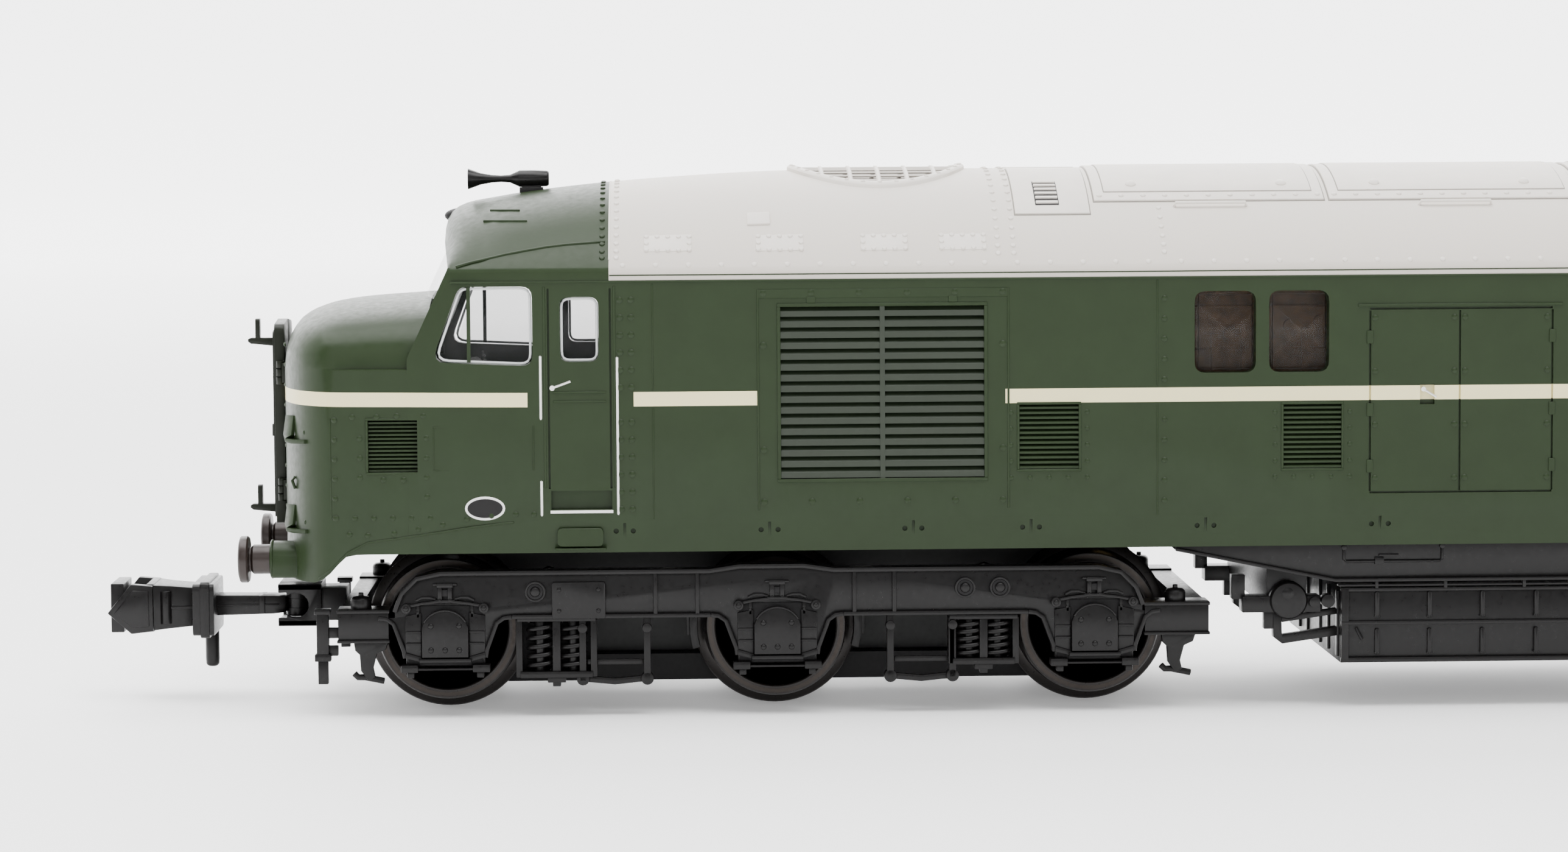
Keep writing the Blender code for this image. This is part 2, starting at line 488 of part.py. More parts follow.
span = math.hypot(AXLES[0] - PIVOT_X, WW_Z - AXLE_Z)
for s, e in ((-1, "a"), (1, "b")):
    px = s * PIVOT_X
    fr = plate("bogie_frame_" + e, [(s * x, z) for x, z in FRAME], 'xz', -8.4, -7.5, BLACK, 0.45)
    other = plate("frame_far_" + e, [(s * x, z) for x, z in FRAME], 'xz', 7.5, 8.4, cutter=True)
    more = [box("beam_out_" + e, (s * 57.95, s * 57.15, -8.0, 8.0, 3.95, 5.25), cutter=True),
            box("beam_in_" + e, (s * 15.85, s * 14.75, -8.0, 8.0, 3.95, 5.25), cutter=True), other]
    for i, x in enumerate(AXLES):
        for t in (-1, 1):
            more.append(box("axlebox%d%s%d" % (i, e, t), (s * (x - 1.2), s * (x + 1.2), t * 8.1, t * 8.9, 3.0, 5.4), cutter=True))
    combine(fr, more)
    tw = plate("gear_tower_" + e, [(px + x, z) for x, z in TOWER], 'xz', -2.0, 2.0, (0.06, 0.06, 0.06), 0.6)
    cuts = [plate("slot_" + e, [(px + x, z) for x, z in TOWER_SLOT], 'xz', -1.1, 1.1, cutter=True),
            box("worm_room_" + e, (px - 5.2, px + 5.2, -1.5, 1.5, 12.9, 15.8), cutter=True),
            cyl("worm_bearing_" + e, 'x', (px, 0, DRIVE_Z), 0.55, 16, 8, cutter=True)]
    for i, x in enumerate(AXLES):
        cuts.append(box("axle_slot%d%s" % (i, e), (s * (x - 0.87), s * (x + 0.87), -3, 3, 1.5, AXLE_Z + 0.87), cutter=True))
    ux, uz = (AXLES[0] - PIVOT_X) / span, -(WW_Z - AXLE_Z) / span
    d1 = WW_R + IDLER_R
    d2 = WW_R + 3 * IDLER_R
    spots = [("worm_wheel_" + e, px, WW_Z)]
    for out, tag in ((1, "outer"), (-1, "inner")):
        spots.append(("idler_%s_%s_1" % (e, tag), px + s * out * ux * d1, WW_Z + uz * d1))
        spots.append(("idler_%s_%s_2" % (e, tag), px + s * out * ux * d2, WW_Z + uz * d2))
    for nm, x, z in spots:
        cuts.append(cyl("pin_" + nm, 'y', (x, 0, z), 0.64, 6, 8, cutter=True))
    combine(tw, cuts, 'DIFFERENCE')
    for nm, x, z in spots:
        r = WW_R - 0.05 if nm.startswith("worm") else IDLER_R - 0.04
        turned(nm, idler_profile(r, 0.8), 'y', (x, 0, z), 16, (0.55, 0.50, 0.40) if nm.startswith("worm") else (0.75, 0.74, 0.70), 0.45)
    turned("worm_" + e, [(0, 6.9), (0.4, 6.9), (0.4, 4.6), (WORM_R, 4.6), (WORM_R, -4.6), (0.4, -4.6), (0.4, -6.9), (0, -6.9)],
           'x', (px, 0, DRIVE_Z), 12, (0.55, 0.42, 0.16), 0.3, 1.0)
    k = box("keeper_plate_" + e, (px - 13.5, px + 13.5, -3.0, 3.0, 1.05, 2.38), BLACK, 0.5)
    combine(k, [box("keeper_ends_" + e, (px - 17.8, px + 17.8, -2.6, 2.6, 1.1, 1.75), cutter=True)])
    for i, x in enumerate(AXLES):
        turned("wheelset_%s%d" % (e, i + 1), wheel_profile(i != 1), 'y', (s * x, 0, AXLE_Z), 16, (0.07, 0.065, 0.06), 0.4, 0.9)

    # coupling: pocket on the bogie, swinging ring, hooked arm
    pk = box("coupling_pocket_" + e, (s * 61.6, s * 59.4, -1.5, 1.5, 3.8, 5.96), BLACK, 0.5)
    combine(pk, [box("pocket_room_" + e, (s * 62.5, s * 59.95, -2, 2, 4.12, 5.62), cutter=True)], 'DIFFERENCE')
    combine(pk, [box("drawbar_" + e, (s * 59.8, s * 58.15, -1.0, 1.0, 4.2, 5.2), cutter=True)])
    cyl("coupling_ring_" + e, 'z', (s * COUPLER_X, 0, (4.2 + 5.54) / 2), 0.6, 1.34, 12, (0.03, 0.03, 0.03), 0.4)
    arm = box("coupling_arm_" + e, (s * 68.2, s * 61.45, -0.75, 0.75, 4.35, 5.3), BLACK, 0.5)
    head = plate("coupling_head_" + e, [(s * 67.9, 3.55), (s * 70.0, 3.55), (s * COUPLER_TIP_X, 4.6), (s * 70.0, 6.1), (s * 67.9, 6.1)],
                 'xz', -2.1, 2.1, cutter=True)
    combine(arm, [box("stop_plate_" + e, (s * 65.9, s * 64.8, -2.4, 2.4, 3.3, 6.2), cutter=True),
                  box("drop_pin_" + e, (s * 65.3, s * 64.9, -0.4, 0.4, 1.6, 3.6), cutter=True), head])
    combine(arm, [box("hook_room_" + e, (s * 69.5, s * 68.3, -1.5, 1.5, 2.0, 5.2), cutter=True)], 'DIFFERENCE')


# ---------------------------------------------------------------- finished pieces in metres
# a moving piece keeps its origin on its joint's axis
ORIGINS = {}
for s, e in ((-1, "a"), (1, "b")):
    for nm in ("bogie_frame_", "gear_tower_", "keeper_plate_", "coupling_pocket_"):
        ORIGINS[nm + e] = (s * PIVOT_X, 0, AXLE_Z)
    for nm in ("coupling_ring_", "coupling_arm_"):
        ORIGINS[nm + e] = (s * COUPLER_X, 0, COUPLER_Z)
bpy.context.view_layer.update()
graph = bpy.context.evaluated_depsgraph_get()
finished = []
for ob in list(PARTS.objects):
    me = bpy.data.meshes.new_from_object(ob.evaluated_get(graph), depsgraph=graph)
    me.transform(ob.matrix_world)
    bm = bmesh.new()
    bm.from_mesh(me)
    bmesh.ops.dissolve_degenerate(bm, edges=bm.edges, dist=1e-4)
    bm.to_mesh(me)
    bm.free()
    me.transform(Matrix.Scale(TO_METRES, 4))
    me.name = ob.name
    finished.append((ob, me, ob.matrix_world.translation.copy()))
for ob, me, t in finished:
    origin = Vector(ORIGINS.get(ob.name, t)) * TO_METRES
    me.transform(Matrix.Translation(-origin))
    ob.modifiers.clear()
    ob.data = me
    ob.matrix_world = Matrix.Translation(origin)
for ob in list(CUTS.objects):
    bpy.data.objects.remove(ob, do_unlink=True)
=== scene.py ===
"""Looks of the 1:148 diesel-electric locomotive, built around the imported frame."""
import bpy
import bmesh
import json
import math
from mathutils import Matrix, Vector

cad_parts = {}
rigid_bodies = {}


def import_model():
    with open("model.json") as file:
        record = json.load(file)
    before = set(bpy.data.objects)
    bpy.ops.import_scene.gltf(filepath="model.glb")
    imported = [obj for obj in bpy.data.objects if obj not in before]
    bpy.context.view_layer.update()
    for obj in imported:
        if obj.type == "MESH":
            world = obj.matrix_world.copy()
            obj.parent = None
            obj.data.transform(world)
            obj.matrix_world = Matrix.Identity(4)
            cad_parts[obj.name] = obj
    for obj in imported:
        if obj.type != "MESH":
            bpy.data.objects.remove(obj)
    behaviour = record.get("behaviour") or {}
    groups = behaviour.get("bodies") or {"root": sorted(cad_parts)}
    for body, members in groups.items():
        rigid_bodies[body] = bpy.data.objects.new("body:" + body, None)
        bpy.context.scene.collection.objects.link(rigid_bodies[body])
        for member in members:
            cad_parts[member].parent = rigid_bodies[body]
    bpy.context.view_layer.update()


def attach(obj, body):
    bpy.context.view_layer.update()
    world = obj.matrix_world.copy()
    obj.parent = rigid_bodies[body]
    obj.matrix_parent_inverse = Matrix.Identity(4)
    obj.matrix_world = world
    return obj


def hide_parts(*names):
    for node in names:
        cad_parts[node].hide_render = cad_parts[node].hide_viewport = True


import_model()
K = 0.001                     # millimetres to metres

# ------------------------------------------------------------------ materials
def new_mat(name, rgb, rough=0.5, metal=0.0, spec=0.5, coat=0.0, var=0.06, scale=900.0, bump=0.0, bump_scale=4000.0,
            rough_var=0.06, upward_pale=0.0, upward_pale_rgb=(0.5, 0.48, 0.44), alpha=1.0, trans=0.0, ior=1.45):
    """Principled material with fine colour mottling, roughness variation, a moulded or painted micro bump
    and an optional paler tone mixed in on upward-facing faces."""
    m = bpy.data.materials.new(name)
    m.use_nodes = True
    nt = m.node_tree
    b = nt.nodes["Principled BSDF"]
    b.inputs["Metallic"].default_value = metal
    b.inputs["Specular IOR Level"].default_value = spec
    b.inputs["Coat Weight"].default_value = coat
    b.inputs["Coat Roughness"].default_value = 0.25
    b.inputs["IOR"].default_value = ior
    b.inputs["Alpha"].default_value = alpha
    b.inputs["Transmission Weight"].default_value = trans
    tc = nt.nodes.new("ShaderNodeTexCoord")
    n1 = nt.nodes.new("ShaderNodeTexNoise")
    n1.inputs["Scale"].default_value = scale
    n1.inputs["Detail"].default_value = 4.0
    nt.links.new(tc.outputs["Object"], n1.inputs["Vector"])
    ramp = nt.nodes.new("ShaderNodeMapRange")
    ramp.inputs["From Min"].default_value = 0.3
    ramp.inputs["From Max"].default_value = 0.7
    ramp.inputs["To Min"].default_value = 1.0 - var
    ramp.inputs["To Max"].default_value = 1.0 + var
    nt.links.new(n1.outputs["Fac"], ramp.inputs["Value"])
    mul = nt.nodes.new("ShaderNodeVectorMath")
    mul.operation = 'SCALE'
    mul.inputs[0].default_value = rgb
    nt.links.new(ramp.outputs["Result"], mul.inputs["Scale"])
    col = mul.outputs["Vector"]
    # optional: upward faces are mixed towards a pale tone, the more so the more they face up
    if upward_pale > 0:
        geo = nt.nodes.new("ShaderNodeNewGeometry")
        sep = nt.nodes.new("ShaderNodeSeparateXYZ")
        nt.links.new(geo.outputs["Normal"], sep.inputs["Vector"])
        up = nt.nodes.new("ShaderNodeMapRange")
        up.inputs["From Min"].default_value = 0.2
        up.inputs["From Max"].default_value = 1.0
        up.inputs["To Min"].default_value = 0.0
        up.inputs["To Max"].default_value = upward_pale
        nt.links.new(sep.outputs["Z"], up.inputs["Value"])
        mix = nt.nodes.new("ShaderNodeMix")
        mix.data_type = 'RGBA'
        mix.inputs["B"].default_value = (*upward_pale_rgb, 1.0)
        nt.links.new(up.outputs["Result"], mix.inputs["Factor"])
        nt.links.new(col, mix.inputs["A"])
        col = mix.outputs["Result"]
    nt.links.new(col, b.inputs["Base Color"])
    n2 = nt.nodes.new("ShaderNodeTexNoise")
    n2.inputs["Scale"].default_value = bump_scale
    n2.inputs["Detail"].default_value = 3.0
    nt.links.new(tc.outputs["Object"], n2.inputs["Vector"])
    rr = nt.nodes.new("ShaderNodeMapRange")
    rr.inputs["From Min"].default_value = 0.3
    rr.inputs["From Max"].default_value = 0.7
    rr.inputs["To Min"].default_value = max(rough - rough_var, 0.02)
    rr.inputs["To Max"].default_value = min(rough + rough_var, 1.0)
    nt.links.new(n2.outputs["Fac"], rr.inputs["Value"])
    nt.links.new(rr.outputs["Result"], b.inputs["Roughness"])
    if bump > 0:
        bp = nt.nodes.new("ShaderNodeBump")
        bp.inputs["Strength"].default_value = bump
        bp.inputs["Distance"].default_value = 0.00002
        nt.links.new(n2.outputs["Fac"], bp.inputs["Height"])
        nt.links.new(bp.outputs["Normal"], b.inputs["Normal"])
    m.diffuse_color = (*rgb, 1.0)
    return m


GREEN_RGB = (0.0175, 0.029, 0.0115)
M = {}
M["green"] = new_mat("paint_green", GREEN_RGB, 0.37, spec=0.2, bump=0.25, bump_scale=3500, scale=700)
M["black"] = new_mat("black_plastic", (0.0050, 0.0045, 0.0046), 0.33, spec=0.30, bump=0.15, bump_scale=5000)
M["black_matt"] = new_mat("black_matt", (0.008, 0.0075, 0.008), 0.55, spec=0.25, bump=0.2, bump_scale=5000)
M["grille"] = new_mat("grille_dark_green", (0.012, 0.019, 0.009), 0.45, bump=0.1)
M["grey"] = new_mat("paint_grey", (0.72, 0.675, 0.62), 0.52, bump=0.2, bump_scale=3500, var=0.025)
# dark strips at the joints round roof hatches and panels: the joint lines, darkened with painted shade at the foot of
# the raised plates
M["joint_shade_grey"] = new_mat("panel_joint_shade_grey", (0.23, 0.215, 0.19), 0.6, spec=0.2, var=0.05)
M["cream"] = new_mat("paint_cream", (0.72, 0.69, 0.50), 0.42, var=0.02, bump=0.1)
M["white"] = new_mat("paint_white", (0.86, 0.85, 0.82), 0.35, var=0.02)
M["silver"] = new_mat("handle_silver", (0.80, 0.79, 0.75), 0.30, metal=0.7, var=0.04)
M["wheel"] = new_mat("wheel_black_metal", (0.022, 0.019, 0.018), 0.32, metal=0.5, bump=0.1, bump_scale=6000, var=0.08)
M["tread"] = new_mat("wheel_tread", (0.036, 0.029, 0.025), 0.36, metal=0.6, bump=0.1, bump_scale=5000, var=0.06)
M["buffer"] = new_mat("buffer_brown", (0.020, 0.013, 0.011), 0.36, metal=0.2, bump=0.15)
M["glass"] = new_mat("clear_glazing", (0.02, 0.022, 0.022), 0.05, spec=0.5, alpha=0.10, var=0.02, rough_var=0.02, ior=1.49)
# pale rings round the cab panes: painted highlight on the edges of the clear glazing
M["edge"] = new_mat("glazing_edge_highlight", (0.78, 0.80, 0.80), 0.15, spec=0.5, alpha=0.85, var=0.03)
M["interior"] = new_mat("cab_interior", (0.020, 0.020, 0.020), 0.6, bump=0.2)
M["alloy"] = new_mat("chassis_alloy", (0.035, 0.035, 0.037), 0.5, metal=0.7, bump=0.3)
M["steel"] = new_mat("motor_steel", (0.42, 0.42, 0.43), 0.32, metal=1.0, bump=0.1)
M["brass"] = new_mat("brass", (0.62, 0.46, 0.18), 0.26, metal=1.0, bump=0.05)
M["copper"] = new_mat("armature_copper", (0.50, 0.22, 0.10), 0.34, metal=0.9, bump=0.4, bump_scale=2500)
M["acetal"] = new_mat("gear_acetal", (0.62, 0.61, 0.57), 0.40, bump=0.05)
M["board"] = new_mat("circuit_board", (0.012, 0.075, 0.030), 0.35, bump=0.1)


# ------------------------------------------------------------------ mesh builder (millimetres)
AXM = {"x": Matrix.Rotation(math.radians(90), 4, 'Y'), "y": Matrix.Rotation(math.radians(-90), 4, 'X'), "z": Matrix.Identity(4)}


class Build:
    """Collects closed solids in millimetres and makes one object of them."""

    def __init__(self):
        self.bm = bmesh.new()
        self.mats = []
        self.cur = 0

    def use(self, mat):
        if mat not in self.mats:
            self.mats.append(mat)
        self.cur = self.mats.index(mat)
        return self

    def _face(self, vs):
        try:
            f = self.bm.faces.new(vs)
            f.material_index = self.cur
        except ValueError:
            pass

    def hexa(self, p):
        v = [self.bm.verts.new(q) for q in p]
        for a in ((0, 3, 2, 1), (4, 5, 6, 7), (0, 1, 5, 4), (1, 2, 6, 5), (2, 3, 7, 6), (3, 0, 4, 7)):
            self._face([v[i] for i in a])

    def box(self, x0, x1, y0, y1, z0, z1):
        x0, x1 = min(x0, x1), max(x0, x1)
        y0, y1 = min(y0, y1), max(y0, y1)
        self.hexa([(x0, y0, z0), (x1, y0, z0), (x1, y1, z0), (x0, y1, z0), (x0, y0, z1), (x1, y0, z1), (x1, y1, z1), (x0, y1, z1)])

    def prism(self, pts, plane, t0, t1):
        """Closed outline with thickness. plane xz: thickness along y; yz: along x; xy: along z."""
        def co(u, v, t):
            return {"xz": (u, t, v), "yz": (t, u, v), "xy": (u, v, t)}[plane]
        a = [self.bm.verts.new(co(u, v, t0)) for u, v in pts]
        b = [self.bm.verts.new(co(u, v, t1)) for u, v in pts]
        n = len(pts)
        self._face(list(reversed(a)))
        self._face(b)
        for i in range(n):
            self._face([a[i], a[(i + 1) % n], b[(i + 1) % n], b[i]])

    def rings(self, rings, close=True, cap=True):
        """Skin through rings of equal point counts."""
        vs = [[self.bm.verts.new(p) for p in r] for r in rings]
        n = len(rings[0])
        for a, b in zip(vs, vs[1:]):
            for i in range(n if close else n - 1):
                self._face([a[i], a[(i + 1) % n], b[(i + 1) % n], b[i]])
        if cap:
            self._face(list(reversed(vs[0])))
            self._face(vs[-1])
        return vs

    def lathe(self, prof, axis, c, n=24, flip=False):
        """prof: (radius, height) along the axis, ends at radius 0 or capped."""
        m = Matrix.Translation(Vector(c)) @ AXM[axis]
        if flip:
            m = m @ Matrix.Diagonal((1, 1, -1, 1))
        rows = []
        for r, h in prof:
            if r < 1e-6:
                rows.append([self.bm.verts.new(m @ Vector((0, 0, h)))])
            else:
                rows.append([self.bm.verts.new(m @ Vector((r * math.cos(2 * math.pi * i / n), r * math.sin(2 * math.pi * i / n), h))) for i in range(n)])
        for a, b in zip(rows, rows[1:]):
            for i in range(n):
                j = (i + 1) % n
                if len(a) == 1 and len(b) == 1:
                    continue
                if len(a) == 1:
                    self._face([a[0], b[j], b[i]])
                elif len(b) == 1:
                    self._face([a[i], a[j], b[0]])
                else:
                    self._face([a[i], a[j], b[j], b[i]])
        for r, fl in ((rows[0], True), (rows[-1], False)):
            if len(r) > 1:
                self._face(list(reversed(r)) if fl else r)

    def cyl(self, axis, c, r, length, n=20, r2=None):
        r2 = r if r2 is None else r2
        self.lathe([(r, -length / 2), (r2, length / 2)], axis, c, n)

    def dome(self, c, nrm, r, h, n=8):
        """A rivet head on a surface with outward direction nrm."""
        z = Vector(nrm).normalized()
        q = z.to_track_quat('Z', 'Y').to_matrix().to_4x4()
        m = Matrix.Translation(Vector(c)) @ q
        rows = []
        for rr, hh in ((r, -0.05), (r, h * 0.25), (r * 0.75, h * 0.75)):
            rows.append([self.bm.verts.new(m @ Vector((rr * math.cos(2 * math.pi * i / n), rr * math.sin(2 * math.pi * i / n), hh))) for i in range(n)])
        top = self.bm.verts.new(m @ Vector((0, 0, h)))
        self._face(list(reversed(rows[0])))
        for a, b in zip(rows, rows[1:]):
            for i in range(n):
                self._face([a[i], a[(i + 1) % n], b[(i + 1) % n], b[i]])
        for i in range(n):
            self._face([rows[-1][i], rows[-1][(i + 1) % n], top])

    def tube(self, pts, r, n=8):
        """Round bar through points."""
        P = [Vector(p) for p in pts]
        rings = []
        for i, p in enumerate(P):
            d = (P[min(i + 1, len(P) - 1)] - P[max(i - 1, 0)]).normalized()
            ref = Vector((0, 0, 1)) if abs(d.z) < 0.9 else Vector((0, 1, 0))
            u = d.cross(ref).normalized()
            w = d.cross(u).normalized()
            rings.append([tuple(p + u * (r * math.cos(2 * math.pi * k / n)) + w * (r * math.sin(2 * math.pi * k / n))) for k in range(n)])
        self.rings(rings)

    def obj(self, name, body, slot, mat=None, replaces=(), bevel=0.0, seg=2, smooth=40, angle=40):
        bmesh.ops.recalc_face_normals(self.bm, faces=self.bm.faces[:])
        me = bpy.data.meshes.new(name)
        self.bm.to_mesh(me)
        self.bm.free()
        me.transform(Matrix.Scale(K, 4))
        for mt in (self.mats or [mat]):
            me.materials.append(M[mt] if isinstance(mt, str) else mt)
        ob = bpy.data.objects.new(name, me)
        bpy.context.scene.collection.objects.link(ob)
        if bevel:
            bv = ob.modifiers.new("edge", 'BEVEL')
            bv.width = bevel * K
            bv.segments = seg
            bv.limit_method = 'ANGLE'
            bv.angle_limit = math.radians(angle)
            bv.miter_outer = 'MITER_ARC'
            bv.use_clamp_overlap = True
            bv.harden_normals = False
            finish(ob)
        me = ob.data
        me.shade_smooth()
        me.set_sharp_from_angle(angle=math.radians(smooth))
        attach(ob, body)
        if replaces:
            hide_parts(*([replaces] if isinstance(replaces, str) else replaces))
        return ob


def finish(ob):
    """Applies the object's modifiers to its mesh."""
    bpy.context.view_layer.update()
    dg = bpy.context.evaluated_depsgraph_get()
    me = bpy.data.meshes.new_from_object(ob.evaluated_get(dg), depsgraph=dg)
    ob.modifiers.clear()
    ob.data = me
    return ob


def rounded(pts, r, n=4):
    """Rounds the corners of a closed outline."""
    out = []
    N = len(pts)
    for i in range(N):
        p0, p1, p2 = Vector(pts[i - 1]), Vector(pts[i]), Vector(pts[(i + 1) % N])
        rr = r[i] if isinstance(r, (list, tuple)) else r
        if rr <= 0:
            out.append(tuple(p1))
            continue
        a, b = (p0 - p1), (p2 - p1)
        ang = a.angle(b)
        d = min(rr / math.tan(ang / 2), a.length * 0.48, b.length * 0.48)
        s, e = p1 + a.normalized() * d, p1 + b.normalized() * d
        for k in range(n + 1):
            t = k / n
            q = (1 - t) ** 2 * s + 2 * t * (1 - t) * p1 + t * t * e
            out.append(tuple(q))
    return out


def hermite(tab, x):
    """Smooth monotone table lookup."""
    xs = [a for a, _ in tab]
    ys = [b for _, b in tab]
    if x <= xs[0]:
        return ys[0]
    if x >= xs[-1]:
        return ys[-1]
    n = len(xs)
    h = [xs[i + 1] - xs[i] for i in range(n - 1)]
    dl = [(ys[i + 1] - ys[i]) / h[i] for i in range(n - 1)]
    m = [dl[0]] + [0.0 if dl[i - 1] * dl[i] <= 0 else 2 * dl[i - 1] * dl[i] / (dl[i - 1] + dl[i]) for i in range(1, n - 1)] + [dl[-1]]
    for i in range(n - 1):
        if x <= xs[i + 1]:
            t = (x - xs[i]) / h[i]
            return ((2 * t ** 3 - 3 * t ** 2 + 1) * ys[i] + (t ** 3 - 2 * t ** 2 + t) * h[i] * m[i]
                    + (-2 * t ** 3 + 3 * t ** 2) * ys[i + 1] + (t ** 3 - t ** 2) * h[i] * m[i + 1])
    return ys[-1]

# ------------------------------------------------------------------ camera, light, floor
def camera():
    yaw, pitch, roll = math.radians(1.71235), math.radians(4.310956), math.radians(0.386296)
    F = Vector((math.sin(yaw) * math.cos(pitch), math.cos(yaw) * math.cos(pitch), -math.sin(pitch)))
    r = Vector((math.cos(yaw), -math.sin(yaw), 0))
    d = F.cross(r)
    r2 = math.cos(roll) * r + math.sin(roll) * d
    d2 = -math.sin(roll) * r + math.cos(roll) * d
    cam = bpy.data.cameras.new("camera")
    cam.sensor_width = 36.0
    cam.lens = 6626.78 / 2576 * 36.0
    cam.clip_start = 0.01
    cam.clip_end = 20.0
    ob = bpy.data.objects.new("camera", cam)
    bpy.context.scene.collection.objects.link(ob)
    m = Matrix.Identity(4)
    for i, v in enumerate((r2, -d2, -F)):
        for k in range(3):
            m[k][i] = v[k]
    m.translation = Vector((-0.041782, -0.207532, 0.029392))
    ob.matrix_world = m
    bpy.context.scene.camera = ob


camera()


def area(name, loc, target, size, energy, size_y=None, color=(1, 1, 1)):
    l = bpy.data.lights.new(name, 'AREA')
    l.shape = 'RECTANGLE'
    l.size = size
    l.size_y = size_y or size
    l.energy = energy
    l.color = color
    ob = bpy.data.objects.new(name, l)
    bpy.context.scene.collection.objects.link(ob)
    ob.location = loc
    ob.rotation_euler = (Vector(target) - Vector(loc)).to_track_quat('-Z', 'Y').to_euler()
    return ob


area("key_top", (-0.05, -0.05, 0.42), (-0.03, 0.0, 0.0), 0.70, 6.0, 0.34)
area("key_front", (-0.12, -0.45, 0.26), (-0.03, 0.0, 0.012), 0.50, 0.75, 0.22)
area("fill_right", (0.34, -0.28, 0.12), (0.0, 0.0, 0.012), 0.30, 0.35)
area("rim_left", (-0.38, 0.05, 0.16), (-0.05, 0.0, 0.012), 0.25, 0.45)
area("rim_back", (0.0, 0.42, 0.25), (0.0, 0.0, 0.015), 0.60, 0.9, 0.25)

world = bpy.data.worlds.new("studio")
bpy.context.scene.world = world
world.use_nodes = True
world.node_tree.nodes["Background"].inputs["Color"].default_value = (1.0, 1.0, 1.0, 1.0)
world.node_tree.nodes["Background"].inputs["Strength"].default_value = 0.20


def backdrop():
    """A pale sheet: floor curving up into a wall behind."""
    bm = bmesh.new()
    prof = [(-3.0, 0.0), (-0.6, 0.0), (0.6, 0.0), (1.0, 0.0)]
    for i in range(1, 13):
        a = math.radians(90) * i / 12
        prof.append((1.0 + 0.8 * math.sin(a), 0.8 - 0.8 * math.cos(a)))
    prof.append((1.8, 3.0))
    rows = [[bm.verts.new((x, y, z - 0.00002)) for y, z in prof] for x in (-3.0, -0.5, 0.5, 3.0)]
    for a, b in zip(rows, rows[1:]):
        for i in range(len(prof) - 1):
            bm.faces.new((a[i], b[i], b[i + 1], a[i + 1]))
    bmesh.ops.recalc_face_normals(bm, faces=bm.faces[:])
    me = bpy.data.meshes.new("floor")
    bm.to_mesh(me)
    bm.free()
    me.shade_smooth()
    ob = bpy.data.objects.new("floor", me)
    bpy.context.scene.collection.objects.link(ob)
    m = new_mat("floor_paper", (0.93, 0.93, 0.93), 0.6, spec=0.2, var=0.004, scale=400, bump=0.0)
    nt = m.node_tree
    tc = nt.nodes.new("ShaderNodeTexCoord")
    ln = nt.nodes.new("ShaderNodeVectorMath")
    ln.operation = 'LENGTH'
    nt.links.new(tc.outputs["Object"], ln.inputs[0])
    far = nt.nodes.new("ShaderNodeMapRange")
    far.interpolation_type = 'SMOOTHSTEP'
    far.inputs["From Min"].default_value = 0.10
    far.inputs["From Max"].default_value = 0.75
    far.inputs["To Min"].default_value = 0.25
    far.inputs["To Max"].default_value = 3.4
    nt.links.new(ln.outputs["Value"], far.inputs["Value"])
    bs = nt.nodes["Principled BSDF"]
    bs.inputs["Emission Color"].default_value = (1, 1, 1, 1)
    nt.links.new(far.outputs["Result"], bs.inputs["Emission Strength"])
    me.materials.append(m)


backdrop()

# ------------------------------------------------------------------ body moulding
SCREEN_X, SCREEN_Z, SIDE_Z = 54.25, 20.6, 17.9
EAVE_Z, GUTTER_Z, SKIRT_Z = 22.35, 21.65, 8.24
CROWN = [(0, 26.95), (34, 26.95), (38, 26.82), (41.5, 26.62), (44.4, 26.40), (47.9, 26.03), (50.0, 25.72), (51.4, 25.40)]
HALF_W = [(0, 9.42), (49.0, 9.42), (51.5, 9.38), (54.3, 9.24), (57.4, 9.12), (58.2, 8.96), (58.8, 8.64), (59.4, 8.04), (59.9, 7.28),
          (60.4, 6.0), (60.7, 4.75), (60.9, 3.3), (61.0, 1.7)]
RIDGE = [(0, 9.80), (49.6, 9.78), (53.15, 9.29), (56.4, 8.85), (57.4, 8.45), (58.35, 7.5), (59.1, 7.0), (61.0, 7.0)]
NOSE_LOW = [(56.4, 8.24), (57.3, 8.22), (57.8, 7.85), (58.35, 7.26), (58.8, 6.93), (59.2, 6.80), (61.0, 6.80)]
NOSE_TOP = [(53.4, 20.84), (56.7, 20.62), (58.3, 20.40), (59.3, 20.12), (59.97, 19.78), (60.42, 19.28), (60.75, 18.55), (61.0, 17.6)]


def screen_x(y, z):
    return SCREEN_X - 0.471 * (z - SCREEN_Z) - 1.12 * (min(abs(y), 9.3) / 9.25) ** 1.6


def body_w(x):
    return hermite(HALF_W, x)


def roof_y(x, z):
    """Half width of the roof at a height, and back."""
    c = hermite(CROWN, x)
    w = body_w(x) - 0.10
    d = c - EAVE_Z
    R = (w * w + d * d) / (2 * d)
    return math.sqrt(max(R * R - (z - (c - R)) ** 2, 0.0))


def roof_pt(x, y):
    """Height and outward normal of the roof surface."""
    ax = abs(x)
    c = hermite(CROWN, ax)
    w = body_w(ax) - 0.10
    d = c - EAVE_Z
    R = (w * w + d * d) / (2 * d)
    z = c - R + math.sqrt(max(R * R - y * y, 0))
    return z, Vector((0, y / R, (z - c + R) / R)).normalized()


def sect(w, crown, ridge, low, off=0.0, n=15):
    """Half outline of the main body, crown first."""
    w -= off
    crown -= off
    eave = min(EAVE_Z, crown - 0.9) - off * 0.5
    we = w - 0.10
    d = crown - eave
    R = (we * we + d * d) / (2 * d)
    a1 = math.asin(min(we / R, 1.0))
    if d > we:
        a1 = math.pi - a1
    pts = [(R * math.sin(a1 * i / (n - 1)), crown - R + R * math.cos(a1 * i / (n - 1))) for i in range(n)]
    pts += [(w - 0.02, eave - 0.12), (w, eave - 0.30), (w, GUTTER_Z - 0.01 if eave - 0.4 > GUTTER_Z else eave - 0.45),
            (w, SIDE_Z), (w, 14.0), (w, ridge + 0.12), (w - 0.04, ridge - 0.05), (w - 0.26 * (ridge - low), low)]
    return pts


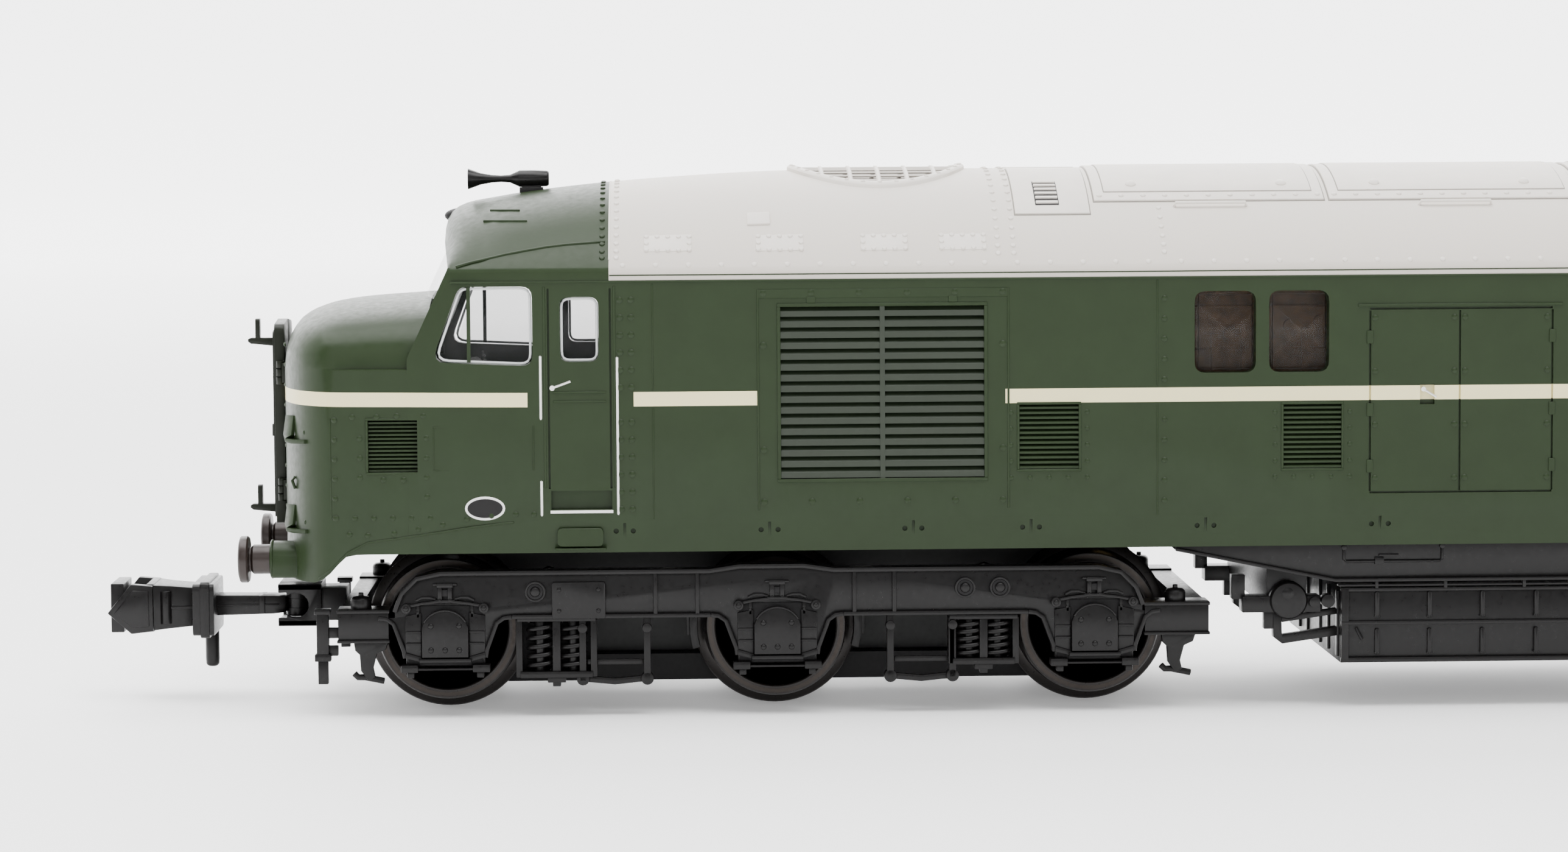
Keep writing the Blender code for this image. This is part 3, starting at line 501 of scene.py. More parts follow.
def nose_sect(x, off=0.0, low=None):
    w = body_w(x) - off
    c = hermite(NOSE_TOP, x) - off
    lo = hermite(NOSE_LOW, x) if low is None else low
    rg = min(max(hermite(RIDGE, x), lo + 0.15), 10.0)
    inset = 0.26 * max(0.0, min(1.0, (58.4 - x) / 1.2)) if not off else 0.15
    zs = min(17.38, c - 1.5) - off * 0.3
    k = w - inset
    pts = []
    n = 13
    for i in range(n):
        a = math.radians(90) * i / (n - 1)
        pts.append((k * math.sin(a) ** 0.85 if i else 0.0, zs + 0.10 + (c - zs - 0.10) * (math.cos(a) ** 0.72 if i < n - 1 else 0.0)))
    pts += [(k, zs + 0.02), (w, zs - 0.02 if inset > 0.01 else zs - 0.05), (w, 14.0), (w, max(rg, lo + 0.1) + 0.1), (w - (0.26 if x < 58 else 0.03) * (rg - lo), lo)]
    return pts


def full(half):
    """Mirrors a half outline into a closed ring, left to right."""
    return [(x, -y, z) for x, y, z in reversed(half)][:-1] + list(half)


def temp_solid(name, rings):
    b = Build()
    vs = [[b.bm.verts.new(p) for p in r] for r in rings]
    n = len(rings[0])
    for a, c in zip(vs, vs[1:]):
        for i in range(n):
            b._face([a[i], a[(i + 1) % n], c[(i + 1) % n], c[i]])
    for r in (vs[0], vs[-1]):
        for i in range(n // 2):
            u = []
            for v in (r[i], r[i + 1], r[n - 2 - i], r[n - 1 - i]):
                if v not in u:
                    u.append(v)
            if len(u) > 2:
                b._face(u)
    bmesh.ops.triangulate(b.bm, faces=b.bm.faces[:])
    return temp_obj(name, b)


def temp_obj(name, b):
    bmesh.ops.recalc_face_normals(b.bm, faces=b.bm.faces[:])
    me = bpy.data.meshes.new(name)
    b.bm.to_mesh(me)
    b.bm.free()
    ob = bpy.data.objects.new(name, me)
    bpy.context.scene.collection.objects.link(ob)
    return ob


def boolean(ob, tools, op):
    for t in tools:
        m = ob.modifiers.new("b", 'BOOLEAN')
        m.operation = op
        m.solver = 'EXACT'
        m.object = t
    finish(ob)
    for t in tools:
        bpy.data.objects.remove(t, do_unlink=True)
    return ob


def main_rings(off=0.0, low=SKIRT_Z):
    out = []
    for s in (-1, 1):
        half = []
        for crown, dx in ((23.50, 0.0), (24.1, 0.05), (24.6, 0.18), (24.95, 0.40), (25.2, 0.72), (25.38, 1.15), (25.50, 1.6)):
            w = body_w(54.0 - dx)
            rg = hermite(RIDGE, 53.5 - dx)
            st = []
            for y, z in sect(w, crown, rg, low, off):
                x = (min(screen_x(y, min(z, 23.5)), 54.38) if z >= SIDE_Z - 0.01 - off else 54.38) - dx - off * 1.1
                st.append((s * x, y, z))
            half.append(full(st))
        for x in (50.2, 49.4, 48.5, 47.5, 46.4, 45.4, 44.4, 42.5, 40.5, 38.5, 36.5, 34.0, 28, 20, 10):
            st = [(s * (x - off * 0.5), y, z) for y, z in sect(body_w(x), hermite(CROWN, x), hermite(RIDGE, x), low, off)]
            half.append(full(st))
        out.append(half)
    return out[0] + list(reversed(out[1]))


def nose_rings(s, off=0.0, low=None):
    xs = [53.4, 54.4, 55.4, 56.4, 57.0, 57.5, 57.9, 58.3, 58.7, 59.1, 59.5, 59.8, 60.1, 60.35, 60.55, 60.72, 60.86, 60.95, 61.0]
    out = []
    for x in xs:
        if off and (body_w(x) - off < 2.2):
            break
        xx = x if not off else (52.5 if x < 54 else x - off * min(max((x - 55.0) / 3.0, 0.0), 1.0))
        out.append(full([(s * xx, y, z) for y, z in nose_sect(x, off, low)]))
    return out


ENGINE_WINDOWS = [(-15.56, -12.52), (-11.87, -8.89), (8.89, 11.87), (12.52, 15.56)]
CAB_WIN = [(53.17, 17.72), (48.2, 17.50), (48.2, 21.42), (51.79, 21.42)]
DOOR_WIN = [(46.85, 17.70), (44.95, 17.70), (44.95, 20.88), (46.85, 20.88)]
SCREEN_WIN = [(0.50, 21.30), (7.7, 20.85), (7.3, 22.15), (4.5, 22.85), (0.50, 23.15)]


def window_tools():
    t = []
    def tool(pts, plane, a, b):
        k = Build()
        k.prism(pts, plane, a, b)
        t.append(temp_obj("tool", k))
    for s in (-1, 1):
        tool(rounded([(s * x, z) for x, z in CAB_WIN], 0.55), 'xz', -12, 12)
        tool(rounded([(s * x, z) for x, z in DOOR_WIN], 0.45), 'xz', -12, 12)
        for q in (-1, 1):
            tool(rounded([(q * y, z) for y, z in SCREEN_WIN], 0.35), 'yz', s * 51.2, s * 56.5)
    for a, b in ENGINE_WINDOWS:
        tool(rounded([(a, 16.9), (b, 16.9), (b, 20.93), (a, 20.93)], 0.55), 'xz', -12, 12)
    return t


GRILLES = [(36.01, 25.97, 11.83, 20.32), (24.23, 21.30, 12.21, 15.40), (11.14, 8.27, 12.13, 15.30)]
NOSE_VENT = (56.33, 53.91, 12.32, 14.88)
SKIRT_JOINTS = [43.75, 36.60, 29.49, 23.66, 14.99, 6.31]
DOORS = [(-6.85, 2.21, 10.9, 20.0)]


def panel_tools():
    """Grille recesses, skirt and door joints, cut shallow into both sides."""
    deep, thin1, thin2 = Build(), Build(), Build()
    for q in (-1, 1):
        for s in (-1, 1):
            for a, b, z0, z1 in GRILLES:
                deep.box(s * a, s * b, q * 9.05, q * 10.5, z0, z1)
            a, b, z0, z1 = NOSE_VENT
            deep.box(s * a, s * b, q * 8.75, q * 10.5, z0, z1)
            deep.box(s * 47.35, s * 44.35, q * 9.1, q * 10.5, 10.42, 11.35)
            for x in SKIRT_JOINTS:
                thin1.box(s * x - 0.07, s * x + 0.07, q * 9.2, q * 10.5, 8.0, 9.72)
                for dx in (-0.42, 0.42):
                    thin2.cyl('y', (s * x + dx, q * 9.5, 9.32), 0.13, 0.8, 12)
            for x in (47.42, 44.38):
                thin1.box(s * x - 0.05, s * x + 0.05, q * 9.25, q * 10.5, 11.45, 21.3)
        for x in (-6.85, -2.39, 2.21):
            thin1.box(x - 0.05, x + 0.05, q * 9.25, q * 10.5, 10.95, 19.9)
        for z in (10.9, 20.0):
            thin2.box(-6.85, 2.21, q * 9.25, q * 10.5, z - 0.05, z + 0.05)
        for x in (3.90, -4.0):
            thin2.box(x - 0.36, x + 0.36, q * 9.15, q * 10.5, 15.25, 16.25)
    return [temp_obj("t", deep), temp_obj("t", thin1), temp_obj("t", thin2)]


def paint_material():
    """Green body, grey roof panel and cream waist stripe, placed by position on the body."""
    m = new_mat("body_paint", GREEN_RGB, 0.37, spec=0.2, bump=0.22, bump_scale=3200, scale=600, var=0.05)
    nt = m.node_tree
    b = nt.nodes["Principled BSDF"]
    base = b.inputs["Base Color"].links[0].from_socket
    tc = nt.nodes.new("ShaderNodeTexCoord")
    sp = nt.nodes.new("ShaderNodeSeparateXYZ")
    nt.links.new(tc.outputs["Object"], sp.inputs["Vector"])

    def math_node(op, a, bb):
        n = nt.nodes.new("ShaderNodeMath")
        n.operation = op
        for i, v in enumerate((a, bb)):
            if v is None:
                continue
            if isinstance(v, (int, float)):
                n.inputs[i].default_value = v
            else:
                nt.links.new(v, n.inputs[i])
        return n.outputs[0]
    X, Z = sp.outputs["X"], sp.outputs["Z"]
    AXx = math_node('ABSOLUTE', X, None)
    roof = math_node('MULTIPLY', math_node('GREATER_THAN', Z, GUTTER_Z * K), math_node('LESS_THAN', AXx, 44.42 * K))
    # the stripe climbs a little along the nose
    lift = nt.nodes.new("ShaderNodeMapRange")
    lift.inputs["From Min"].default_value = 48.0 * K
    lift.inputs["From Max"].default_value = 60.0 * K
    lift.inputs["To Min"].default_value = 0.0
    lift.inputs["To Max"].default_value = 0.10 * K
    nt.links.new(AXx, lift.inputs["Value"])
    zz = math_node('SUBTRACT', Z, lift.outputs["Result"])
    band = math_node('MULTIPLY', math_node('GREATER_THAN', zz, 15.48 * K), math_node('LESS_THAN', zz, 16.19 * K))
    segs = None
    for a, c in ((-62.0, -48.47), (-43.25, -37.07), (-24.92, 24.92), (37.07, 43.25), (48.47, 62.0)):
        g = math_node('MULTIPLY', math_node('GREATER_THAN', X, a * K), math_node('LESS_THAN', X, c * K))
        segs = g if segs is None else math_node('ADD', segs, g)
    stripe = math_node('MULTIPLY', band, segs)

    def mix(fac, a, rgb):
        n = nt.nodes.new("ShaderNodeMix")
        n.data_type = 'RGBA'
        n.inputs["B"].default_value = (*rgb, 1.0)
        nt.links.new(fac, n.inputs["Factor"])
        nt.links.new(a, n.inputs["A"])
        return n.outputs["Result"]
    # painted shade: the lower edge of the roof, whose steeper faces turn away from the top light, is a touch warmer and
    # darker than the top
    low = nt.nodes.new("ShaderNodeMapRange")
    low.inputs["From Min"].default_value = 22.3 * K
    low.inputs["From Max"].default_value = 26.2 * K
    low.inputs["To Min"].default_value = 0.55
    low.inputs["To Max"].default_value = 0.0
    nt.links.new(Z, low.inputs["Value"])
    c0 = mix(roof, base, (0.70, 0.655, 0.60))
    c1 = mix(math_node('MULTIPLY', roof, low.outputs["Result"]), c0, (0.50, 0.455, 0.40))
    c2 = mix(stripe, c1, (0.82, 0.75, 0.43))
    nt.links.new(c2, b.inputs["Base Color"])
    r0 = b.inputs["Roughness"].links[0].from_socket
    add = math_node('ADD', r0, math_node('MULTIPLY', roof, 0.12))
    nt.links.new(add, b.inputs["Roughness"])
    return m


def body_skin():
    skin = temp_solid("body", main_rings())
    boolean(skin, [temp_solid("n%d" % s, nose_rings(s)) for s in (-1, 1)], 'UNION')
    boolean(skin, [temp_solid("hb", main_rings(0.8, 6.0))], 'DIFFERENCE')
    boolean(skin, [temp_solid("hn%d" % s, nose_rings(s, 0.8, 5.0)) for s in (-1, 1)], 'DIFFERENCE')
    boolean(skin, window_tools(), 'DIFFERENCE')
    boolean(skin, panel_tools(), 'DIFFERENCE')
    fan = Build()
    fan.cyl('z', (-30.8, 0, 27.0), 4.12, 4.4, 56)
    boolean(skin, [temp_obj("fan", fan)], 'DIFFERENCE')
    me = skin.data
    me.name = "body_moulding"
    skin.name = "body_moulding"
    me.materials.clear()
    me.transform(Matrix.Scale(K, 4))
    me.materials.append(paint_material())
    for p in me.polygons:
        p.material_index = 0
    bm = bmesh.new()
    bm.from_mesh(me)
    bmesh.ops.remove_doubles(bm, verts=bm.verts, dist=1e-6)
    bm.to_mesh(me)
    bm.free()
    me.shade_smooth()
    me.set_sharp_from_angle(angle=math.radians(32))
    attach(skin, "chassis")
    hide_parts("body_shell")
    return skin


body_skin()

# ------------------------------------------------------------------ body details
def line_pts(p0, p1, step):
    n = max(int(round((Vector(p1) - Vector(p0)).length / step)), 1)
    return [tuple(Vector(p0).lerp(Vector(p1), i / n)) for i in range(n + 1)]


def rect_rivets(x0, x1, z0, z1, step):
    pts = []
    for a, b in (((x0, z0), (x1, z0)), ((x1, z0), (x1, z1)), ((x1, z1), (x0, z1)), ((x0, z1), (x0, z0))):
        pts += line_pts((a[0], a[1], 0), (b[0], b[1], 0), step)[:-1]
    return [(x, z) for x, z, _ in pts]


def side_rivet(b, q, x, z, r=0.18, h=0.078):
    w = body_w(abs(x))
    if 15.35 < z < 16.40:
        return
    if z > EAVE_Z:
        y = roof_y(abs(x), z)
        n = roof_pt(x, y)[1]
        b.dome((x, q * y, z), (0, q * n.y, n.z), r, h)
    else:
        dx = 0.0
        if abs(x) > 57.5:
            e = 0.05
            g = (body_w(abs(x) + e) - body_w(abs(x) - e)) / (2 * e)
            dx = -g * (1 if x > 0 else -1)
        b.dome((x, q * w, z), (dx, q, 0), r, h)


def frame_ring(b, q, x0, x1, z0, z1, wd, t):
    """Raised border standing off the body side."""
    w = body_w(max(abs(x0), abs(x1)))
    for a in ((x0 - wd, x1 + wd, z1, z1 + wd), (x0 - wd, x1 + wd, z0 - wd, z0), (x0 - wd, x0, z0, z1), (x1, x1 + wd, z0, z1)):
        b.box(a[0], a[1], q * (w - 0.15), q * (w + t), a[2], a[3])


def side_details():
    riv, trim = Build().use("green"), Build().use("green")
    for q in (-1, 1):
        for s in (-1, 1):
            # riveted grille panel
            xs = sorted((s * 37.12, s * 24.77))
            trim.box(xs[0], xs[1], q * 9.3, q * 9.45, 20.75, 21.19)
            for x in (37.12, 24.77):
                trim.box(s * x - 0.05, s * x + 0.05, q * 9.3, q * 9.46, 10.3, 21.19)
            frame_ring(trim, q, *sorted((s * 36.01, s * 25.97)), 11.83, 20.32, 0.17, 0.06)
            for x, z in rect_rivets(s * 36.85, s * 25.05, 10.7, 21.0, 2.35):
                side_rivet(riv, q, x, z)
            for x, z in ((34.5, 20.6), (27.5, 20.6)):
                trim.box(s * x - 0.22, s * x + 0.22, q * 9.3, q * 9.48, z - 0.1, z + 0.22)
            for a, c, z0, z1 in GRILLES[1:]:
                frame_ring(trim, q, *sorted((s * a, s * c)), z0, z1, 0.12, 0.05)
                for x, z in rect_rivets(s * (a + 0.42), s * (c - 0.42), z0 - 0.42, z1 + 0.42, 0.86):
                    side_rivet(riv, q, x, z, 0.125, 0.065)
            a, c, z0, z1 = NOSE_VENT
            frame_ring(trim, q, *sorted((s * a, s * c)), z0, z1, 0.12, 0.06)
            # cab-side blank number panel outline and skirt panel with its lip
            for z in (12.36, 14.50):
                trim.box(s * 53.14, s * 48.2, q * 9.2, q * (body_w(53.0) + 0.045), z, z + 0.07)
            for x in (53.10, 48.2):
                trim.box(s * x - 0.035, s * x + 0.035, q * 9.1, q * (body_w(abs(x)) + 0.04), 12.36, 14.57)
            pts = rounded([(s * 47.07, 8.59), (s * 44.80, 8.59), (s * 44.80, 9.49), (s * 47.07, 9.49)], 0.25)
            trim.prism(pts, 'xz', q * 9.1, q * 9.47)
            trim.box(s * 47.2, s * 44.65, q * 9.1, q * 9.46, 8.40, 8.50)
            # skirt ridge as a fine raised line that drops towards the nose
            ridge = [(49.2, 9.80), (49.6, 9.78), (51.4, 9.56), (53.15, 9.29), (54.9, 9.05), (56.4, 8.85), (57.4, 8.35), (58.35, 7.42), (58.9, 7.05)]
            trim.tube([(s * x, q * (body_w(x) - 0.01), z) for x, z in ridge], 0.055)
            # cab roof crease, gutter, door bar and sill
            crease = [(51.9, 22.40), (51.2, 22.60), (50.5, 22.75), (49.5, 22.97), (48.5, 23.15), (47.5, 23.31), (46.5, 23.42), (44.6, 23.55)]
            trim.tube([(s * x, q * (roof_y(x, z) - 0.01), z) for x, z in crease], 0.075)
            trim.box(s * 47.2, s * 44.6, q * 9.3, q * 9.47, 15.7, 15.8)
            trim.box(s * 47.2, s * 44.6, q * 9.3, q * 9.47, 16.15, 16.25)
            # door frame strips
            for x in (47.62, 44.18):
                trim.box(s * x - 0.06, s * x + 0.06, q * 9.3, q * 9.455, 11.5, 21.4)
            # nose side rivets
            cols = [(365, 1045), (365, 1115), (365, 1190), (365, 1255), (365, 1325)]
            nr = [(58.0, 14.9), (57.1, 15.05), (55.9, 15.05), (54.9, 15.1), (53.6, 15.1)]
            nr += [(58.0, 14.9 - 0.97 * i) for i in range(1, 6)]
            nr += [(56.75, 14.0 - 0.97 * i) for i in range(3)] + [(53.45, 14.0 - 0.97 * i) for i in range(3)]
            nr += [(55.6, 11.95), (54.6, 11.95), (53.45, 11.1)]
            nr += [(57.95 - 0.93 * i, 10.05) for i in range(6)]
            nr += [(57.3, 9.25), (56.4, 9.2), (55.1, 9.3), (53.9, 9.5), (52.7, 9.72), (51.5, 9.98), (50.3, 10.15), (49.1, 10.2), (48.2, 10.2)]
            for x, z in nr:
                side_rivet(riv, q, s * x, z, 0.15, 0.076)
            for i in range(13):
                for x in (43.9, 43.35):
                    side_rivet(riv, q, s * x, 10.4 + 0.86 * i, 0.17, 0.078)
            # side panel joints
            for x in (42.3, 17.4):
                trim.box(s * x - 0.04, s * x + 0.04, q * 9.3, q * 9.445, 9.9, 15.40)
                trim.box(s * x - 0.04, s * x + 0.04, q * 9.3, q * 9.445, 16.28, 21.5)
            for i in range(11):
                side_rivet(riv, q, s * 17.4 + 0.35, 10.6 + 1.0 * i, 0.15, 0.075)
        # gutters and cantrail strip
        trim.box(-52.2, 52.2, q * 9.2, q * 9.48, 21.58, 21.68)
        trim.box(-44.4, 44.4, q * 9.2, q * 9.46, 21.90, 21.96)
        trim.box(-7.45, 2.71, q * 9.3, q * 9.5, 20.1, 20.24)
        for x in (-6.6, -2.65, -2.13, 1.96):
            for i in range(4):
                side_rivet(riv, q, x, 11.6 + 2.65 * i, 0.16, 0.075)
        for x in (-6.85, 2.21):
            for z in (12.2, 15.0, 18.6):
                trim.box(x - 0.16, x + 0.16, q * 9.3, q * 9.49, z - 0.32, z + 0.32)
        for a, c in ENGINE_WINDOWS:
            frame_ring(trim, q, a + 0.18, c - 0.18, 17.08, 20.75, 0.0, 0.0)
        for k in range(-28, 29):
            x = k * 1.62
            if abs(x) < 43.8:
                riv.use("grey")
                side_rivet(riv, q, x, 22.42, 0.14, 0.08)
                riv.use("green")
    trim.obj("side_trim", "chassis", "body_green", bevel=0.018, seg=1)
    riv.obj("side_rivets", "chassis", "body_green")


side_details()


def grille_slats():
    b = Build()
    for q in (-1, 1):
        for s in (-1, 1):
            for k, (a, c, z0, z1) in enumerate(GRILLES + [NOSE_VENT]):
                x0, x1 = sorted((s * a, s * c))
                yo = 9.40 if k < 3 else 9.05
                b.use("black_matt").box(x0, x1, q * (yo - 0.36), q * (yo - 0.30), z0, z1)
                b.use("green" if k else "grille")
                n = 16 if k == 0 else 13
                p = (z1 - z0) / n
                gaps = [(x0, (x0 + x1) / 2 - 0.10), ((x0 + x1) / 2 + 0.10, x1)] if k == 0 else [(x0, x1)]
                for xa, xb in gaps:
                    for i in range(n):
                        z = z0 + p * i
                        t = (0.52 if k == 0 else 0.44) * p
                        pts = [(q * (yo - 0.28), z + 0.55 * p), (q * (yo - 0.28), z + 0.55 * p + t), (q * yo, z + 0.08 * p + t), (q * yo, z + 0.08 * p)]
                        b.prism(pts, 'yz', xa, xb)
                if k == 0:
                    b.box((x0 + x1) / 2 - 0.12, (x0 + x1) / 2 + 0.12, q * 9.05, q * 9.43, z0, z1)
    b.obj("grille_slats", "chassis", "body_green")


grille_slats()


def cab_fittings():
    wh, si, ov = Build().use("white"), Build().use("silver"), Build()
    for q in (-1, 1):
        for s in (-1, 1):
            Y = q * 9.435
            for x, z1, z0 in ((47.82, 18.08, 14.87), (47.82, 11.92, 10.11), (44.05, 18.0, 10.14)):
                wh.tube([(s * x, q * 9.36, z1), (s * x, Y, z1 - 0.10), (s * x, Y, z0 + 0.10), (s * x, q * 9.36, z0)], 0.062, 8)
            wh.box(s * 47.39, s * 44.3, q * 9.3, q * 9.5, 10.24, 10.38)
            si.tube([(s * 47.25, Y, 16.42), (s * 46.35, Y, 16.74)], 0.06)
            si.cyl('y', (s * 47.25, Y, 16.42), 0.13, 0.1, 12)
            # blank oval plate with a pale border
            def oval(rx, rz, n=28):
                return [(s * 50.61 + rx * math.cos(2 * math.pi * i / n), 10.51 + rz * math.sin(2 * math.pi * i / n)) for i in range(n)]
            ov.use("white").prism(oval(0.99, 0.59), 'xz', q * 9.2, q * 9.43)
            ov.use("black").prism(oval(0.87, 0.47), 'xz', q * 9.3, q * 9.455)
        si.tube([(-4.2, Y, 16.0), (-3.55, Y, 15.6)], 0.06)
        si.cyl('y', (-4.2, Y, 16.0), 0.12, 0.1, 12)
    wh.obj("cab_handrails", "chassis", "body_green")
    si.obj("door_handles", "chassis", "body_green")
    ov.obj("oval_plates", "chassis", "body_green", bevel=0.015, seg=1)


cab_fittings()


# ------------------------------------------------------------------ roof
def arc_patch(b, x0, x1, y0, y1, t, n=10, m=1):
    """Raised plate following the roof between two half widths."""
    cols = []
    for k in range(m + 1):
        x = x0 + (x1 - x0) * k / m
        top, bot = [], []
        for i in range(n + 1):
            y = y0 + (y1 - y0) * i / n
            z, nn = roof_pt(x, y)
            top.append((x, y + nn.y * t, z + nn.z * t))
            bot.append((x, y - nn.y * 0.25, z - nn.z * 0.25))
        cols.append(top + list(reversed(bot)))
    b.rings(cols)


def y_at(x, z):
    return roof_y(abs(x), z)


def roof_details():
    b, r = Build().use("grey"), Build().use("grey")
    hatches = [(-20.16, -8.62), (-8.33, 4.2), (4.5, 16.1)]
    for x0, x1 in hatches:
        ye = 6.0
        # dark strips round the hatch foot and its inner panel: joint lines with painted shade
        b.use("joint_shade_grey")
        for x in (x0, x1):
            arc_patch(b, x - 0.07, x + 0.07, -ye - 0.06, ye + 0.06, 0.02, 16)
        for y in (-ye, ye):
            arc_patch(b, x0 - 0.07, x1 + 0.07, y - 0.07, y + 0.07, 0.02, 1)
        for x in (x0 + 0.55, x1 - 0.55):
            arc_patch(b, x - 0.05, x + 0.05, -ye + 0.66, ye - 0.66, 0.115, 14)
        for y in (-ye + 0.7, ye - 0.7):
            arc_patch(b, x0 + 0.5, x1 - 0.5, y - 0.05, y + 0.05, 0.115, 1)
        b.use("grey")
        arc_patch(b, x0, x1, -ye, ye, 0.10, 16)
        arc_patch(b, x0 + 0.55, x1 - 0.55, -ye + 0.7, ye - 0.7, 0.15, 14)
        for q in (-1, 1):
            for x in line_pts((x0 + 0.28, 0, 0), (x1 - 0.28, 0, 0), 1.05):
                y = q * 5.65
                z, n = roof_pt(x[0], y)
                r.dome((x[0], y + n.y * 0.10, z + n.z * 0.10), n, 0.14, 0.08)
            # grab handle and lifting knobs
            xm = (x0 + x1) / 2
            z, n = roof_pt(xm, q * 6.4)
            p = lambda x, o: (x, q * 6.4 + n.y * o, z + n.z * o)
            r.tube([p(xm - 1.8, 0.0), p(xm - 1.75, 0.22), p(xm + 1.75, 0.22), p(xm + 1.8, 0.0)], 0.08)
            for dx in (-3.8, 3.8):
                z2, n2 = roof_pt(xm + dx, q * 4.6)
                r.dome((xm + dx, q * 4.6 + n2.y * 0.14, z2 + n2.z * 0.14), n2, 0.28, 0.16, 12)
    # riveted cover boxes near the eaves
    boxes = [(42.68, 40.33), (37.16, 34.81), (31.99, 29.66), (28.10, 25.77)]
    for q in (-1, 1):
        for s in (-1, 1):
            for a, c in boxes:
                ya, yb = y_at(a, 23.8), y_at(a, 23.05)
                x0, x1 = sorted((s * a, s * c))
                arc_patch(b, x0, x1, *sorted((q * ya, q * yb)), 0.03, 3)
                for k in range(5):
                    for zz in (23.12, 23.74) + ((23.43,) if k in (0, 4) else ()):
                        x = x0 + 0.12 + (x1 - x0 - 0.24) * k / 4
                        y = y_at(x, zz)
                        z, n = roof_pt(x, q * y)
                        r.dome((x, q * y + n.y * 0.03, z + n.z * 0.03), n, 0.13, 0.085, 8)
            # vent panel with its little grille
            x0, x1 = sorted((s * 24.2, s * 20.47))
            # dark outline round the vent panel: joint line with painted shade
            b.use("joint_shade_grey")
            arc_patch(b, x0 - 0.06, x1 + 0.06, *sorted((q * 1.14, q * 6.97)), 0.02, 8)
            b.use("black_matt")
            arc_patch(b, *sorted((s * 23.15, s * 21.95)), *sorted((q * 4.1, q * 6.35)), 0.11, 6)
            b.use("grey")
            arc_patch(b, x0, x1, *sorted((q * 1.2, q * 6.9)), 0.09, 8)
            for i in range(6):
                yy = 4.2 + 0.38 * i
                arc_patch(b, *sorted((s * 23.1, s * 22.0)), *sorted((q * yy, q * (yy + 0.16))), 0.19, 2)
            # small square cover
            ya, yb = y_at(37, 24.85), y_at(37, 24.3)
            arc_patch(b, *sorted((s * 37.56, s * 36.43)), *sorted((q * ya, q * yb)), 0.10, 2)
            # cab roof ribs
            for zz, xa, xb in ((24.55, 51.0, 48.5), (25.05, 50.7, 48.9)):
                b.use("green")
                b.tube([(s * x, q * (y_at(x, zz - 0.0)), zz) for x in (xb, (xa + xb) / 2, xa - 0.3)], 0.07)
                b.use("grey")
    # transverse riveted joints
    for s in (-1, 1):
        for x, mat in ((44.75, "green"), (44.05, "grey"), (25.22, "grey"), (24.45, "grey"), (17.0, "grey")):
            r.use(mat)
            for i in range(-13, 14):
                a = i / 13.0
                y = 8.9 * math.sin(a * 1.25) / math.sin(1.25)
                z, n = roof_pt(x, y)
                if z > 22.3:
                    r.dome((s * x, y, z), n, 0.14, 0.085, 8)
        b.use("grey")
        arc_patch(b, *sorted((s * 44.36, s * 44.44)), -9.0, 9.0, 0.035, 30)
    # boiler hatch and exhaust at the far end, which the nearer end does not have
    b.use("grey")
    # dark outline round the boiler hatch: joint line with painted shade
    b.use("joint_shade_grey")
    arc_patch(b, 26.33, 35.27, -4.67, 4.67, 0.02, 14)
    b.use("grey")
    arc_patch(b, 26.4, 35.2, -4.6, 4.6, 0.12, 14)
    arc_patch(b, 27.1, 34.5, -3.9, 3.9, 0.18, 12)
    b.use("black_matt").cyl('z', (38.3, 0, 26.85), 0.75, 0.5, 24)
    b.use("grey").lathe([(1.0, -0.3), (1.0, 0.20), (0.78, 0.20), (0.78, 0.0)], 'z', (38.3, 0, 26.80), 28)
    b.obj("roof_panels", "chassis", "roof_grey", bevel=0.03, seg=2)
    r.obj("roof_rivets", "chassis", "roof_grey")
    # fan ring and mesh
    g = Build().use("grey")
    cx, R = -30.8, 4.5
    prof = [(4.55, -1.35), (4.55, 0.14), (4.47, 0.22), (4.18, 0.22), (4.05, 0.14), (4.05, -0.55), (4.25, -1.35)]
    n = 56
    rings = []
    for i in range(n):
        a = 2 * math.pi * i / n
        ring = []
        for rr, h in prof:
            x, y = cx + rr * math.cos(a), rr * math.sin(a)
            zz = roof_pt(x, y)[0]
            ring.append((x, y, min(zz, 26.96) + (h if h > -0.5 else h * 0.5)))
        rings.append(ring)
    rings.append(rings[0])
    g.rings(rings, cap=False)
    bmesh.ops.remove_doubles(g.bm, verts=g.bm.verts, dist=1e-5)
    g.use("black_matt").lathe([(4.2, -0.12), (4.2, 0.0)], 'z', (cx, 0, 25.55), 48)
    g.use("alloy").lathe([(0.95, 0.0), (0.95, 0.30), (0.80, 0.40), (0.0, 0.44)], 'z', (cx, 0, 25.55), 32)
    for i in range(8):
        a = 2 * math.pi * i / 8
        u, v = Vector((math.cos(a), math.sin(a), 0)), Vector((-math.sin(a), math.cos(a), 0))
        o = Vector((cx, 0, 25.72))
        P = []
        for dz in (-0.035, 0.035):
            for rr, w, tw in ((0.85, -0.45, -0.12), (3.85, -0.85, -0.12), (3.85, 0.85, 0.14), (0.85, 0.45, 0.14)):
                P.append(tuple(o + u * rr + v * w + Vector((0, 0, tw + dz))))
        g.hexa(P)
    g.use("grey")
    zs = lambda x, y: min(roof_pt(x, y)[0], 26.95) + 0.06
    for i in range(-5, 6):
        for axis, pitch, rad in (("y", 1.43, 0.12), ("x", 0.72, 0.08)):
            k = i * pitch
            if abs(k) > 4.0:
                continue
            half = math.sqrt(4.12 ** 2 - k * k)
            if axis == "y":
                g.tube([(cx + k, -half + 2 * half * j / 10, zs(cx + k, -half + 2 * half * j / 10)) for j in range(11)], rad, 6)
            else:
                g.tube([(cx - half, k, zs(cx, k) - 0.03), (cx + half, k, zs(cx, k) - 0.03)], rad, 6)
    for i in range(32):
        a = 2 * math.pi * i / 32
